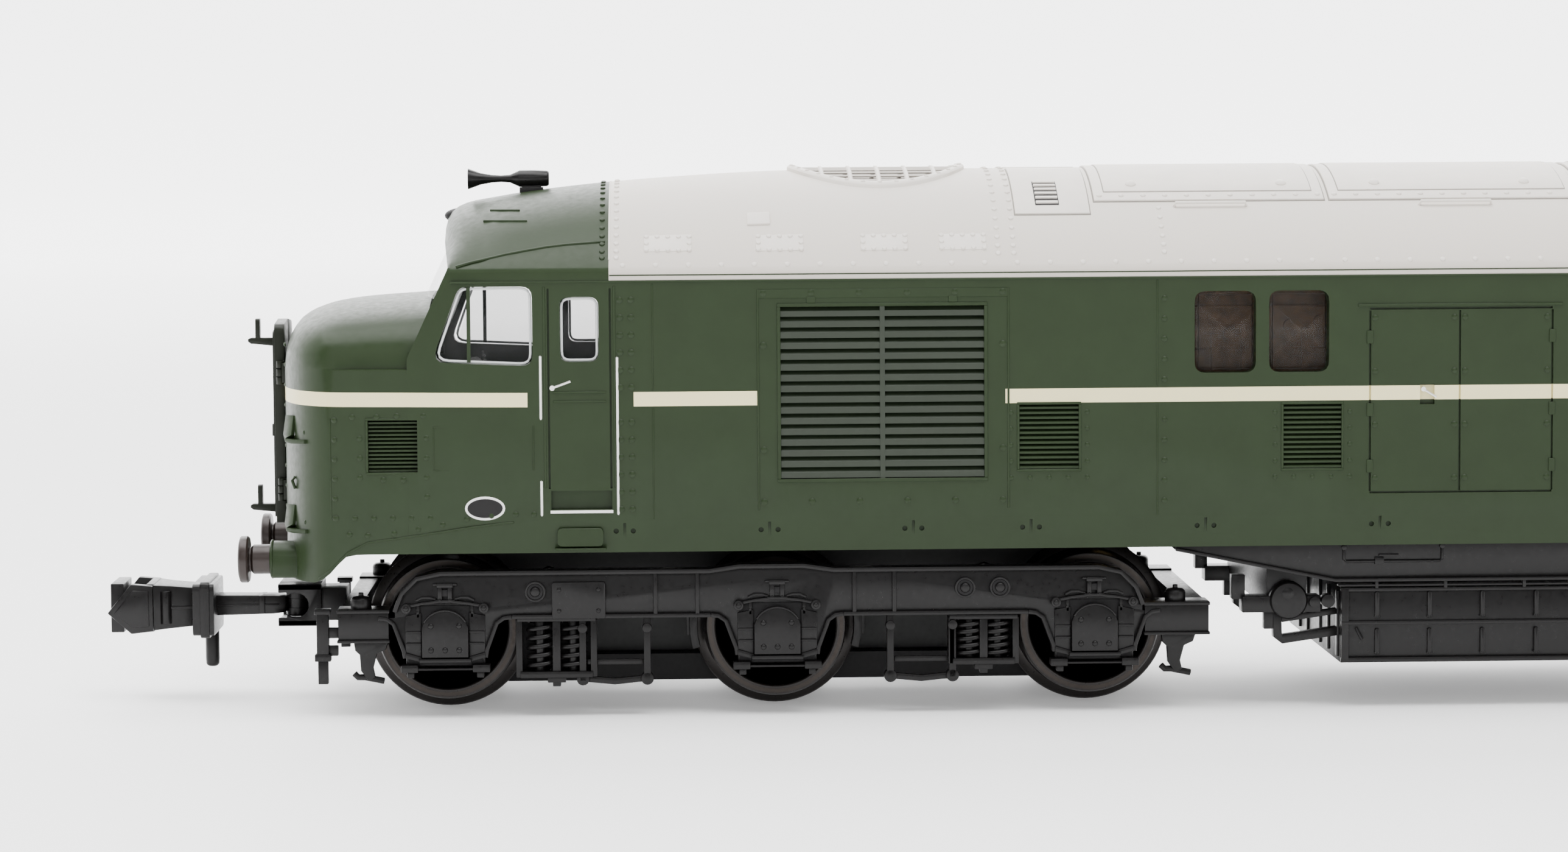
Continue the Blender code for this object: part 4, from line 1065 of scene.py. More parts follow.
        x, y = cx + 4.32 * math.cos(a), 4.32 * math.sin(a)
        g.dome((x, y, min(roof_pt(x, y)[0], 26.96) + 0.21), (0, 0, 1), 0.12, 0.07, 6)
    g.obj("fan_grille", "chassis", "roof_grey", replaces="roof_fan_grille")


roof_details()

# ------------------------------------------------------------------ bogies
def arc_strip(b, path, wd, y0, y1):
    """Flat bar of even width along a path in the xz plane."""
    P = [Vector((x, z)) for x, z in path]
    rings = []
    for i, p in enumerate(P):
        d = (P[min(i + 1, len(P) - 1)] - P[max(i - 1, 0)]).normalized()
        n = Vector((-d.y, d.x)) * wd / 2
        a, c = p + n, p - n
        rings.append([(a.x, y0, a.y), (a.x, y1, a.y), (c.x, y1, c.y), (c.x, y0, c.y)])
    b.rings(rings)


def bogie_side(b, s, q, cx=36.6):
    """One side frame; outer end at the cab. Wheels at 52.05, 36.5, 21.0."""
    def X(x):
        return s * x
    Yf = 8.30          # frame face
    def box(x0, x1, y0, y1, z0, z1):
        b.box(X(x0), X(x1), q * y0, q * y1, z0, z1)
    def prism(pts, y0, y1):
        b.prism([(X(x), z) for x, z in pts], 'xz', q * y0, q * y1)
    wheels = WHEELS
    b.use("black")
    # plate outline with pedestals down at each axle
    top = [(18.0, 5.3), (18.35, 6.2), (19.1, 6.95), (20.2, 7.2), (33.4, 7.2), (34.9, 7.42), (38.1, 7.42), (39.6, 7.2), (52.9, 7.2), (54.1, 6.95), (54.85, 6.2), (55.2, 5.3)]
    bot = []
    for w in sorted(wheels, reverse=True):
        bot += [(w + 2.9, 5.0), (w + 2.55, 4.75), (w + 1.95, 3.2), (w + 1.95, 2.55), (w - 1.95, 2.55), (w - 1.95, 3.2), (w - 2.55, 4.75), (w - 2.9, 5.0)]
    pts = top + [(55.2, 5.0)] + bot + [(18.0, 5.0)]
    prism(pts, 7.65, Yf)
    # flanges along the edges
    arc_strip(b, [(X(x), z) for x, z in top], 0.22, q * 7.5, q * (Yf + 0.28))
    for w in wheels:
        for e in (-1, 1):
            path = [(w + e * 3.3, 5.0), (w + e * 2.9, 4.95), (w + e * 2.55, 4.7), (w + e * 2.05, 3.35), (w + e * 2.0, 3.0)]
            arc_strip(b, [(X(x), z) for x, z in path], 0.20, q * 7.6, q * (Yf + 0.25))
    ws = sorted(wheels)
    for a, c in ((ws[0] + 3.3, ws[1] - 3.3), (ws[1] + 3.3, ws[2] - 3.3)):
        arc_strip(b, [(X(a), 5.0), (X(c), 5.0)], 0.20, q * 7.6, q * (Yf + 0.25))
    for x in (42.27, 40.19, 32.39, 30.40):
        if abs(x - 41.2) < 1.5 or abs(x - 31.4) < 1.5:
            box(x - 0.10, x + 0.10, 8.2, Yf + 0.22, 5.0, 7.1)
    for x in (48.23, 26.87, 25.13):
        b.use("black_matt")
        b.cyl('y', (X(x), q * 8.3, 6.25), 0.40, 0.36, 20)
        b.use("black")
        b.lathe([(0.52, 0), (0.52, 0.28), (0.40, 0.28), (0.40, 0.12)], 'y', (X(x), q * 8.22, 6.25), 24, flip=(q < 0))
        b.lathe([(0.26, 0), (0.26, 0.34), (0.18, 0.42), (0.0, 0.42)], 'y', (X(x), q * 8.22, 6.25), 18, flip=(q < 0))
    # axleboxes
    for w in wheels:
        b.use("black_matt")
        box(w - 1.85, w + 1.85, 8.2, 8.36, 2.7, 5.6)
        b.use("black")
        pts = [(w - 1.15, 3.05), (w + 1.15, 3.05), (w + 1.15, 4.55)] + [(w + 1.15 * math.cos(math.radians(180 * i / 14)), 4.35 + 1.04 * math.sin(math.radians(180 * i / 14))) for i in range(1, 14)] + [(w - 1.15, 4.55)]
        prism(pts, 8.2, 8.78)
        ring = [(w + 1.15 * math.cos(math.radians(180 * i / 14)), 4.35 + 1.04 * math.sin(math.radians(180 * i / 14))) for i in range(2, 13)]
        arc_strip(b, [(X(x), z) for x, z in ring], 0.09, q * 8.4, q * 8.86)
        for dx, z in ((-0.70, 4.62), (0.70, 4.62), (-0.70, 3.42), (0.0, 3.42), (0.70, 3.42)):
            b.dome((X(w + dx), q * 8.77, z), (0, q, 0), 0.15, 0.10, 8)
        # horn guides with their stiffeners, keep and tie bar
        for e in (-1, 1):
            x0, x1 = w + e * 1.18, w + e * 1.98
            prism([(x0, 3.0), (x1, 3.1), (x1, 5.1), (x0, 5.25)], 8.2, 8.50)
            for z in (4.30, 3.72):
                box(x0, w + e * 1.95, 8.2, 8.62, z - 0.05, z + 0.05)
            prism([(x0, 3.05), (x1, 3.28), (x1, 3.0), (x0, 2.8)], 8.2, 8.60)
            box(w + e * 1.35, w + e * 2.20, 7.9, 8.72, 2.30, 2.66)
            box(w + e * 1.55, w + e * 1.90, 8.0, 8.6, 2.02, 2.32)
        box(w - 1.28, w + 1.28, 8.2, 8.82, 2.80, 2.98)
        b.use("black_matt")
        box(w - 1.30, w + 1.30, 8.0, 8.40, 2.60, 2.80)
        b.use("black")
        box(w - 2.0, w + 2.0, 8.1, 8.66, 2.40, 2.50)
        # equaliser link above the box
        for e in (-1, 1):
            path = [(w + e * 0.18, 5.88), (w + e * 0.45, 5.80), (w + e * 1.15, 5.72), (w + e * 1.75, 5.60)]
            arc_strip(b, [(X(x), z) for x, z in path], 0.14, q * 8.2, q * 8.62)
            path = [(w + e * 0.45, 5.90), (w + e * 0.75, 6.0), (w + e * 1.15, 6.0), (w + e * 1.45, 5.85)]
            arc_strip(b, [(X(x), z) for x, z in path], 0.12, q * 8.2, q * 8.50)
            b.cyl('y', (X(w + e * 1.92), q * 8.42, 5.48), 0.25, 0.55, 14)
            b.dome((X(w + e * 1.92), q * 8.69, 5.48), (0, q, 0), 0.15, 0.08, 8)
            box(w + e * 1.25, w + e * 1.42, 8.2, 8.5, 5.0, 5.62)
            b.dome((X(w + e * 1.33), q * 8.48, 5.28), (0, q, 0), 0.10, 0.06, 6)
        box(w - 0.40, w + 0.40, 8.2, 8.58, 6.50, 6.72)
        box(w - 0.60, w + 0.60, 8.2, 8.48, 6.60, 6.70)
        box(w - 0.36, w - 0.14, 8.2, 8.52, 5.80, 6.55)
        box(w + 0.14, w + 0.36, 8.2, 8.52, 5.80, 6.55)
        b.use("black_matt")
        box(w - 0.18, w + 0.18, 8.2, 8.46, 6.05, 6.40)
        b.use("black")
        box(w - 0.5, w + 0.5, 8.2, 8.60, 5.75, 5.90)
    # spring units between the wheels: pockets, coils and hangers
    for xa, xb, z0, z1 in ((45.3, 49.1, 2.25, 4.75), (24.3, 27.6, 2.7, 4.65)):
        xm = (xa + xb) / 2
        b.use("black_matt")
        box(xa, xb, 7.3, 7.5, z0, z1)
        b.use("black")
        box(xa - 0.05, xb + 0.05, 7.3, 8.45, z1, z1 + 0.22)
        box(xa + 0.1, xb - 0.1, 7.3, 8.5, z0 - 0.30, z0)
        for x in (xa + 0.05, xb - 0.05):
            box(x - 0.16, x + 0.16, 7.4, 8.4, z0 - 0.28, z1 + 0.1)
        for cxs in ((xa + xm) / 2 + 0.12, (xb + xm) / 2 - 0.12):
            turns = 5.5
            nseg = 88
            pts = []
            for i in range(nseg + 1):
                a = 2 * math.pi * turns * i / nseg
                pts.append((X(cxs) + 0.58 * math.cos(a), q * 7.95 + 0.36 * math.sin(a), z0 + (z1 - z0) * i / nseg))
            b.tube(pts, 0.125, 6)
            b.cyl('z', (X(cxs), q * 7.95, (z0 + z1) / 2), 0.26, z1 - z0, 12)
        box(xm - 0.2, xm + 0.2, 7.6, 8.35, z0 - 0.75, z1)
        box(xm - 0.45, xm + 0.45, 7.6, 8.45, z0 - 0.55, z0 - 0.22)
    # bracket above the outer spring and swing links at the middle
    prism(rounded([(47.4, 6.72), (44.75, 6.72), (44.75, 4.9), (47.4, 4.9)], 0.12), 8.2, 8.62)
    for x in (47.05, 45.1):
        for z in (6.35, 5.3):
            b.dome((X(x), q * 8.61, z), (0, q, 0), 0.12, 0.07, 8)
    for x in (45.9, 42.7, 30.6, 27.5):
        box(x - 0.17, x + 0.17, 7.8, 8.40, 1.75, 5.0)
        b.cyl('y', (X(x), q * 8.1, 1.85), 0.32, 0.6, 16)
        b.cyl('y', (X(x), q * 8.25, 4.4), 0.24, 0.6, 14)
    # equaliser beam low between the posts
    for x0, x1 in ((45.9, 42.7), (30.6, 27.5)):
        arc_strip(b, [(X(x0), 1.85), (X((x0 + x1) / 2), 1.70), (X(x1), 1.85)], 0.30, q * 7.85, q * 8.25)
        box(min(x0, x1) + 0.2, max(x0, x1) - 0.2, 7.9, 8.15, 2.55, 2.8)
    # headstock ends, sand boxes and end brackets
    box(58.0, 55.5, 6.6, 8.4, 3.85, 5.35)
    box(58.05, 55.45, 6.6, 8.55, 5.25, 5.42)
    box(58.05, 55.45, 6.6, 8.55, 3.78, 3.92)
    box(17.9, 14.70, 6.6, 8.4, 3.85, 5.35)
    box(17.95, 14.65, 6.6, 8.55, 5.25, 5.42)
    box(17.95, 14.65, 6.6, 8.55, 3.78, 3.92)
    for x0 in (57.3, 17.0):
        prism([(x0, 3.8), (x0 - 1.75, 3.8), (x0 - 1.6, 3.35), (x0 - 1.15, 3.15), (x0 - 0.95, 2.4), (x0 - 1.05, 1.95), (x0 - 0.7, 1.8), (x0 - 0.35, 2.3), (x0 - 0.3, 3.1), (x0 - 0.08, 3.3)], 7.2, 7.75)
        b.tube([(X(x0), q * 7.5, 2.15), (X(x0 - 0.2), q * 7.5, 1.95), (X(x0 - 0.55), q * 7.5, 1.95), (X(x0 - 1.5), q * 7.5, 1.75)], 0.17, 8)
    for x, z in ((56.9, 5.95), (16.3, 5.95)):
        b.cyl('z', (X(x), q * 7.7, 5.62), 0.52, 0.5, 20)
        b.dome((X(x), q * 7.7, 5.86), (0, 0, 1), 0.5, 0.22, 16)
        b.cyl('z', (X(x), q * 7.7, 6.12), 0.13, 0.2, 10)
    # hanger and post below the outer headstock
    box(58.55, 59.15, 6.9, 7.5, 3.0, 5.3)
    box(58.45, 59.25, 6.8, 7.6, 5.1, 5.35)
    box(58.45, 59.25, 6.85, 7.55, 2.75, 3.1)
    box(58.6, 59.1, 6.95, 7.45, 1.6, 2.8)
    box(58.0, 58.6, 6.9, 7.4, 3.9, 4.4)
    box(58.1, 58.6, 6.9, 7.3, 3.0, 3.5)
    # brake shoes on the wheel treads
    for w in wheels:
        for e in (-1, 1):
            pts = []
            for i in range(7):
                a = math.radians(-16 + 32 * i / 6)
                pts.append((w + e * (3.95 * math.cos(a)), 4.13 + 3.95 * math.sin(a)))
            for i in range(6, -1, -1):
                a = math.radians(-16 + 32 * i / 6)
                pts.append((w + e * (4.35 * math.cos(a)), 4.13 + 4.35 * math.sin(a)))
            if 17.2 < w + e * 4.4 < 56.9:
                prism(pts, 4.75, 5.6)
                box(w + e * 4.30, w + e * 4.50, 5.0, 5.3, 3.6, 6.3)


def bogie(e, s):
    fr = Build().use("black")
    for q in (-1, 1):
        bogie_side(fr, s, q)
    for x0, x1 in ((57.95, 57.15), (15.85, 14.75)):
        fr.box(s * x0, s * x1, -7.6, 7.6, 3.95, 5.25)
        fr.box(s * (x0 + 0.08), s * (x1 - 0.08), -7.4, 7.4, 5.15, 5.32)
    fr.obj("bogie_sides_%s" % e, "bogie_%s" % e, "inner_plastic", replaces="bogie_frame_%s" % e, bevel=0.035, seg=2)


WHEELS = None


def read_wheels():
    global WHEELS
    WHEELS = []
    for i in (1, 2, 3):
        ob = bpy.data.objects["wheelset_a%d" % i]
        xs = [(ob.matrix_world @ Vector(c)).x for c in ob.bound_box]
        WHEELS.append(abs((min(xs) + max(xs)) / 2) / K)


read_wheels()
for e, s in (("a", -1), ("b", 1)):
    bogie(e, s)


def wheelsets():
    for e, s in (("a", -1), ("b", 1)):
        for i in (1, 2, 3):
            x = s * WHEELS[i - 1]
            b = Build()
            for q in (-1, 1):
                b.use("wheel")
                prof = [(0.75, 3.60), (3.3, 3.70), (4.02, 3.84), (4.13, 3.92), (4.13, 4.0), (4.03, 4.12), (3.66, 4.20), (3.60, 4.34),
                        (3.55, 5.72), (3.47, 5.85), (3.10, 5.85), (3.02, 5.78), (2.98, 5.50), (2.80, 5.44), (1.35, 5.42), (1.15, 5.60), (1.05, 5.84), (0.55, 5.86),
                        (0.50, 6.16), (0.40, 6.2), (0.0, 6.2)]
                b.lathe([(r, h) for r, h in prof], 'y', (x, 0, 4.13), 72, flip=(q < 0))
                # rim groove ring in brighter metal
                b.use("tread").lathe([(3.40, 5.80), (3.40, 5.865), (3.22, 5.865), (3.22, 5.80)], 'y', (x, 0, 4.13), 72, flip=(q < 0))
            b.use("steel").cyl('y', (x, 0, 4.13), 0.75, 7.3, 24)
            if i != 2:
                teeth = 21
                pts = []
                for k in range(teeth * 4):
                    a = 2 * math.pi * (k + 0.5) / (teeth * 4)
                    r = WG[1] if (k // 2) % 2 == 0 else WG[0]
                    pts.append((x + r * math.cos(a), 4.13 + r * math.sin(a)))
                b.use("acetal").prism(pts, 'xz', -WG[2], WG[2])
            b.obj("wheels_%s%d" % (e, i), "wheelset_%s%d" % (e, i), "wheel_metal", replaces="wheelset_%s%d" % (e, i))


WG = (2.2, 2.55, 0.6)


wheelsets()

# painted shade: the nose doors, body green on the real thing, and their lamp irons are drawn near-black for the shadow
# they stand in
M["nose_shaded"] = new_mat("nose_shaded_green", (0.0085, 0.0105, 0.006), 0.38, spec=0.22, bump=0.15)


# ------------------------------------------------------------------ couplings
def couplings(e, s):
    def bx(b, x0, x1, y0, y1, z0, z1):
        b.box(s * x0, s * x1, y0, y1, z0, z1)
    p = Build().use("black")
    bx(p, 58.15, 60.0, -1.2, 1.2, 4.05, 5.7)
    bx(p, 59.4, 61.6, -1.5, 1.5, 5.64, 5.96)
    bx(p, 59.4, 61.6, -1.5, 1.5, 3.80, 4.10)
    notch = [(60.72 + 0.68 * math.cos(math.radians(a)), 4.87 + 0.64 * math.sin(math.radians(a))) for a in range(-50, -311, -20)]
    cheek = [(61.6, 3.82), (61.6, 4.22), (61.18, 4.22)] + notch + [(61.18, 5.52), (61.6, 5.52), (61.6, 5.94), (59.4, 5.94), (59.4, 3.82)]
    for q in (-1, 1):
        p.prism([(s * x, z) for x, z in cheek], 'xz', q * 1.18, q * 1.5)
    p.obj("coupling_pocket_box_%s" % e, "bogie_%s" % e, "inner_plastic", replaces="coupling_pocket_%s" % e, bevel=0.03, seg=2)
    r = Build().use("black")
    r.lathe([(0.0, 4.2), (0.52, 4.2), (0.60, 4.28), (0.60, 4.62), (0.57, 4.64), (0.57, 5.10), (0.60, 5.12), (0.60, 5.46), (0.52, 5.54), (0.0, 5.54)],
            'z', (s * 60.72, 0, 0), 32)
    r.obj("coupling_swivel_%s" % e, "coupling_ring_%s" % e, "black_plastic", replaces="coupling_ring_%s" % e)
    a = Build().use("black")
    rings = []
    for x, y, z0, z1 in ((61.28, 0.55, 4.42, 5.24), (61.45, 0.62, 4.40, 5.26), (61.9, 0.72, 4.36, 5.30), (64.9, 0.75, 4.30, 5.34)):
        rings.append([(s * x, -y, z0), (s * x, y, z0), (s * x, y, z1), (s * x, -y, z1)])
    a.rings(rings)
    bx(a, 61.6, 64.9, -0.80, 0.80, 4.78, 4.88)
    bx(a, 62.35, 62.65, -0.82, 0.82, 4.36, 5.32)
    plate = rounded([(-2.4, 3.3), (2.4, 3.3), (2.4, 6.2), (-2.4, 6.2)], 0.35, 5)
    a.prism(plate, 'yz', s * 65.02, s * 65.5)
    a.prism(rounded([(-2.3, 3.42), (2.3, 3.42), (2.3, 6.08), (-2.3, 6.08)], 0.35, 5), 'yz', s * 64.8, s * 65.9)
    a.rings([[(s * x, -y, z0), (s * x, y, z0), (s * x, y, z1), (s * x, -y, z1)] for x, y, z0, z1 in
             ((65.8, 1.30, 3.85, 5.80), (67.2, 1.35, 3.72, 5.92), (68.0, 1.7, 3.66, 6.0))])
    bx(a, 65.9, 68.0, -1.46, 1.46, 4.74, 4.88)
    a.cyl('z', (s * 67.35, -1.38, 4.82), 0.30, 1.7, 16)
    a.cyl('z', (s * 67.35, 1.38, 4.82), 0.30, 1.7, 16)
    # pointed hook head, open in the middle
    tip = [(70.25, 4.61), (69.05, 6.08), (67.95, 5.98), (67.92, 3.66), (69.05, 3.54)]
    for q in (-1, 1):
        a.prism([(s * x, z) for x, z in tip], 'xz', q * 1.45, q * 2.02)
        a.prism([(s * x, z) for x, z in ((69.9, 4.61), (68.95, 5.78), (68.15, 5.74), (68.12, 3.9), (68.95, 3.86))], 'xz', q * 1.9, q * 2.1)
    bx(a, 69.45, 70.12, -1.6, 1.6, 3.58, 6.08)
    bx(a, 67.92, 68.32, -1.6, 1.6, 3.60, 6.04)
    a.lathe([(0.0, 1.60), (0.22, 1.60), (0.34, 1.72), (0.36, 2.0), (0.36, 4.0), (0.0, 4.0)], 'z', (s * 65.15, 0, 0), 24)
    a.obj("coupling_hook_%s" % e, "coupling_arm_%s" % e, "black_plastic", replaces="coupling_arm_%s" % e, bevel=0.05, seg=2)


# ------------------------------------------------------------------ nose fittings
def nose_fittings(e, s):
    # nose doors and lamp irons in near-black green: painted shade
    d = Build().use("nose_shaded")
    for q in (-1, 1):
        out = rounded([(q * 0.03, 9.2), (q * 2.35, 9.2), (q * 2.35, 19.3), (q * 0.03, 19.5)], [0, 0.12, 0.5, 0], 4)
        d.prism(out, 'yz', s * 61.02, s * 61.52)
        inn = rounded([(q * 0.28, 9.5), (q * 2.1, 9.5), (q * 2.1, 18.95), (q * 0.28, 19.1)], [0.1, 0.12, 0.4, 0.1], 4)
        d.prism(inn, 'yz', s * 61.3, s * 61.62)
        for z0, z1 in ((10.33, 11.53), (16.26, 17.50)):
            zm = (z0 + z1) / 2
            for i in range(3):
                d.cyl('z', (s * 61.20, q * 2.56, z0 + (z1 - z0) * (i + 0.5) / 3), 0.20, (z1 - z0) / 3 - 0.06, 12)
            d.box(s * 61.05, s * 61.45, q * 1.6, q * 2.5, zm - 0.42, zm + 0.42)
            d.box(s * 60.65, s * 61.1, q * 2.55, q * 2.85, zm - 0.5, zm + 0.5)
    d.cyl('x', (s * 61.66, -0.35, 14.1), 0.14, 0.25, 12)
    d.tube([(s * 61.66, -0.35, 14.1), (s * 61.80, -0.35, 14.1), (s * 61.80, -0.35, 13.5)], 0.07, 6)
    for z in (9.85, 18.39):
        y = 0.35
        d.prism([(s * 61.4, z - 0.30), (s * 62.9, z - 0.15), (s * 63.04, z - 0.04), (s * 63.04, z + 0.08), (s * 62.9, z + 0.14), (s * 61.4, z + 0.14)], 'xz', -y, y)
        d.prism(rounded([(-y, z), (y, z), (y, z + 1.12), (-y, z + 1.12)], 0.16), 'yz', s * 62.44, s * 62.66)
    d.obj("nose_doors_%s" % e, "chassis", "black_plastic", replaces="nose_door_%s" % e, bevel=0.04, seg=2)
    # green corner steps and buffer housings, joined to the moulding
    g = Build().use("green")
    for q in (-1, 1):
        for z in (13.72, 9.26):
            P = [(s * 60.35, q * 6.35, z + 1.26), (s * 60.47, q * 6.45, z + 0.30), (s * 60.40, q * 6.55, z + 0.04), (s * 60.05, q * 6.95, z), (s * 59.35, q * 7.85, z + 0.05)]
            rings = []
            for i, pp in enumerate(P):
                v = Vector(pp)
                dd = (Vector(P[min(i + 1, len(P) - 1)]) - Vector(P[max(i - 1, 0)])).normalized()
                u = Vector((s * -0.55, q * 0.83, 0)) if abs(dd.z) > 0.7 else Vector((0, 0, 1))
                t = dd.cross(u).normalized()
                w = 0.42 if abs(dd.z) > 0.7 else 0.10
                tt = 0.09 if abs(dd.z) > 0.7 else 0.30
                rings.append([tuple(v + u * w + t * tt), tuple(v - u * w + t * tt), tuple(v - u * w - t * tt), tuple(v + u * w - t * tt)])
            g.rings(rings)
            g.dome((s * 59.55, q * 7.75, z + 0.5), (s * 0.6, q * 0.8, 0), 0.13, 0.1)
        g.tube([(s * 60.15, q * 6.75, 11.95), (s * 60.30, q * 6.80, 11.75), (s * 60.15, q * 6.85, 11.35)], 0.09, 6)
        g.cyl('x', (s * 60.15, q * 5.88, 7.74), 0.92, 2.45, 32)
        g.prism(rounded([(q * 4.96, 7.9), (q * 4.96, 6.84), (q * 6.80, 6.84), (q * 6.80, 7.9)], [0.0, 0.35, 0.35, 0.0]), 'yz', s * 59.2, s * 61.36)
        g.lathe([(0.70, 0), (0.96, 0), (0.99, 0.10), (0.90, 0.16), (0.70, 0.16)], 'x', (s * 61.34, q * 5.88, 7.74), 32, flip=(s < 0))
        # vertical seam round the nose corner
        w = body_w(58.2)
        g.box(s * 58.17, s * 58.23, q * (w - 0.3), q * (w + 0.02), 10.0, 15.0)
        # rivets up the nose front beside the doors
        for y in (3.05, 3.75):
            for i in range(9):
                z = 10.2 + 1.02 * i
                x = 61.0
                for j in range(60):
                    if body_w(x) >= y:
                        break
                    x -= 0.02
                g.dome((s * x, q * y, z), (s * 0.97, q * 0.25, 0), 0.10, 0.06, 6)
    g.obj("nose_fittings_%s" % e, "chassis", "body_green", bevel=0.03, seg=2)
    for q, side in ((-1, "left"), (1, "right")):
        b = Build().use("buffer")
        b.lathe([(0.0, -0.04), (0.74, -0.04), (0.74, 0.80), (0.62, 0.92), (0.62, 0.98), (1.10, 1.02), (1.17, 1.10), (1.17, 1.40), (1.12, 1.47), (0.9, 1.53), (0.5, 1.58), (0.0, 1.60)],
                'x', (s * 61.55, q * 5.88, 7.74), 48, flip=(s < 0))
        b.obj("buffer_head_%s_%s" % (e, side), "chassis", "buffer_metal", replaces="buffer_%s_%s" % (e, side))
    h = Build().use("black")
    h.lathe([(0.0, -1.95), (0.34, -1.95), (0.40, -1.85), (0.43, -1.2), (0.43, -0.45), (0.36, -0.30), (0.20, 0.05), (0.17, 0.5), (0.20, 1.0), (0.30, 1.55),
             (0.50, 2.10), (0.54, 2.2), (0.49, 2.2), (0.27, 1.6), (0.12, 0.9), (0.0, 0.85)], 'x', (s * 49.5, 0, 26.58), 32, flip=(s < 0))
    h.box(s * 47.95, s * 48.95, -0.22, 0.22, 25.75, 26.6)
    h.box(s * 47.85, s * 49.05, -0.40, 0.40, 25.75, 26.14)
    h.obj("air_horn_%s" % e, "chassis", "black_plastic", replaces="horn_%s" % e, bevel=0.02, seg=1)
    k = Build().use("black_matt")
    rings = []
    for i in range(7):
        a = math.radians(90) * i / 6
        rr = 0.55 * math.cos(a) + 0.02
        rings.append([(s * (51.9 + 1.0 * math.sin(a)), -0.2 + 1.25 * rr * math.cos(t), 24.72 + rr * 0.72 * math.sin(t)) for t in [2 * math.pi * j / 24 for j in range(24)]])
    k.rings(rings)
    k.obj("roof_hood_%s" % e, "chassis", "black_plastic")


# ------------------------------------------------------------------ cab inside and glazing
def cab_parts(e, s):
    c = Build().use("interior")
    c.box(s * 52.2, s * 44.3, -8.05, 8.05, 13.4, 14.2)
    c.box(s * 44.6, s * 44.05, -8.0, 8.0, 13.5, 20.8)
    desk = [(52.1, 13.9), (52.1, 17.0), (51.7, 17.05), (50.95, 16.6), (50.9, 16.3), (51.2, 16.2), (51.2, 13.9)]
    c.prism([(s * x, z) for x, z in desk], 'xz', -7.4, 7.4)
    for q in (-1, 1):
        c.prism(rounded([(s * 49.4, 15.8), (s * 47.9, 15.8), (s * 47.9, 16.25), (s * 49.4, 16.25)], 0.15), 'xz', q * 3.9, q * 6.0)
        c.box(s * 49.1, s * 48.2, q * 4.5, q * 5.4, 14.1, 15.85)
        c.prism(rounded([(s * 48.4, 15.9), (s * 47.95, 18.2), (s * 47.75, 18.2), (s * 48.1, 15.9)], 0.08), 'xz', q * 4.0, q * 5.9)
        c.box(s * 51.75, s * 51.1, q * 4.2, q * 5.8, 16.8, 17.0)
        c.cyl('x', (s * 51.35, q * 6.4, 17.0), 0.42, 0.12, 20)
        c.use("silver").tube([(s * 51.4, q * 3.5, 16.7), (s * 51.1, q * 3.5, 17.35)], 0.07, 6)
        c.use("interior")
    c.box(s * 44.05 + s * 0.5, s * 44.75, -1.6, 1.6, 14.2, 20.0)
    c.obj("cab_inside_%s" % e, "chassis", "inner_plastic", replaces="cab_interior_%s" % e, bevel=0.04, seg=2)
    g = Build().use("glass")
    for q in (-1, 1):
        w = 8.55
        pts = rounded([(s * 52.95, 17.25), (s * 44.75, 17.25), (s * 44.75, 21.48), (s * 51.6, 21.48)], 0.3)
        g.prism(pts, 'xz', q * w, q * (w - 0.45))
        # panes standing into the openings, their moulded edges drawn as pale rings: painted highlight where the clear
        # edges catch the light
        p2 = rounded([(s * (x), z) for x, z in ((52.98, 17.82), (48.30, 17.60), (48.30, 21.32), (51.72, 21.32))], 0.5)
        g.prism(p2, 'xz', q * (w - 0.05), q * 9.22)
        p3 = rounded([(s * x, z) for x, z in ((46.77, 17.78), (45.03, 17.78), (45.03, 20.80), (46.77, 20.80))], 0.4)
        g.prism(p3, 'xz', q * (w - 0.05), q * 9.25)
        # pale rings round the panes: painted highlight on the clear glazing edges
        g.use("edge")
        for pp, yy in ((p2, 9.16), (p3, 9.18)):
            g.tube([(x, q * yy, z) for x, z in pp] + [(pp[0][0], q * yy, pp[0][1])], 0.075, 6)
        g.use("glass")
    g.obj("cab_windows_%s" % e, "chassis", "glazing", replaces="cab_glazing_%s" % e, bevel=0.05, seg=2)
    # windscreens
    f = Build().use("glass")
    for q in (-1, 1):
        rows = []
        for off in (0.30, 0.62):
            for y0 in (0,):
                pts = []
                for z in (20.75, 21.4, 22.0, 22.6, 23.15):
                    rowp = []
                    for i in range(9):
                        y = 0.35 + (7.9 - 0.35) * i / 8
                        x = screen_x(y, z) - off
                        zz = z - 0.0 if z < 22.4 else min(z, roof_pt(51.0, y)[0] - 1.9)
                        rowp.append((s * x, q * y, min(z, 23.2 - 0.12 * max(y - 4.5, 0) ** 1.1)))
                    pts.append(rowp)
                rows.append(pts)
        outer, inner = rows
        bm = f.bm
        vo = [[bm.verts.new(p) for p in r] for r in outer]
        vi = [[bm.verts.new(p) for p in r] for r in inner]
        R, C = len(vo), len(vo[0])
        for i in range(R - 1):
            for j in range(C - 1):
                f._face([vo[i][j], vo[i][j + 1], vo[i + 1][j + 1], vo[i + 1][j]])
                f._face([vi[i][j], vi[i + 1][j], vi[i + 1][j + 1], vi[i][j + 1]])
        for i in range(R - 1):
            f._face([vo[i][0], vo[i + 1][0], vi[i + 1][0], vi[i][0]])
            f._face([vo[i][-1], vi[i][-1], vi[i + 1][-1], vo[i + 1][-1]])
        for j in range(C - 1):
            f._face([vo[0][j], vi[0][j], vi[0][j + 1], vo[0][j + 1]])
            f._face([vo[-1][j], vo[-1][j + 1], vi[-1][j + 1], vi[-1][j]])
    f.obj("windscreens_%s" % e, "chassis", "glazing")
    w = Build().use("green")
    for q in (-1, 1):
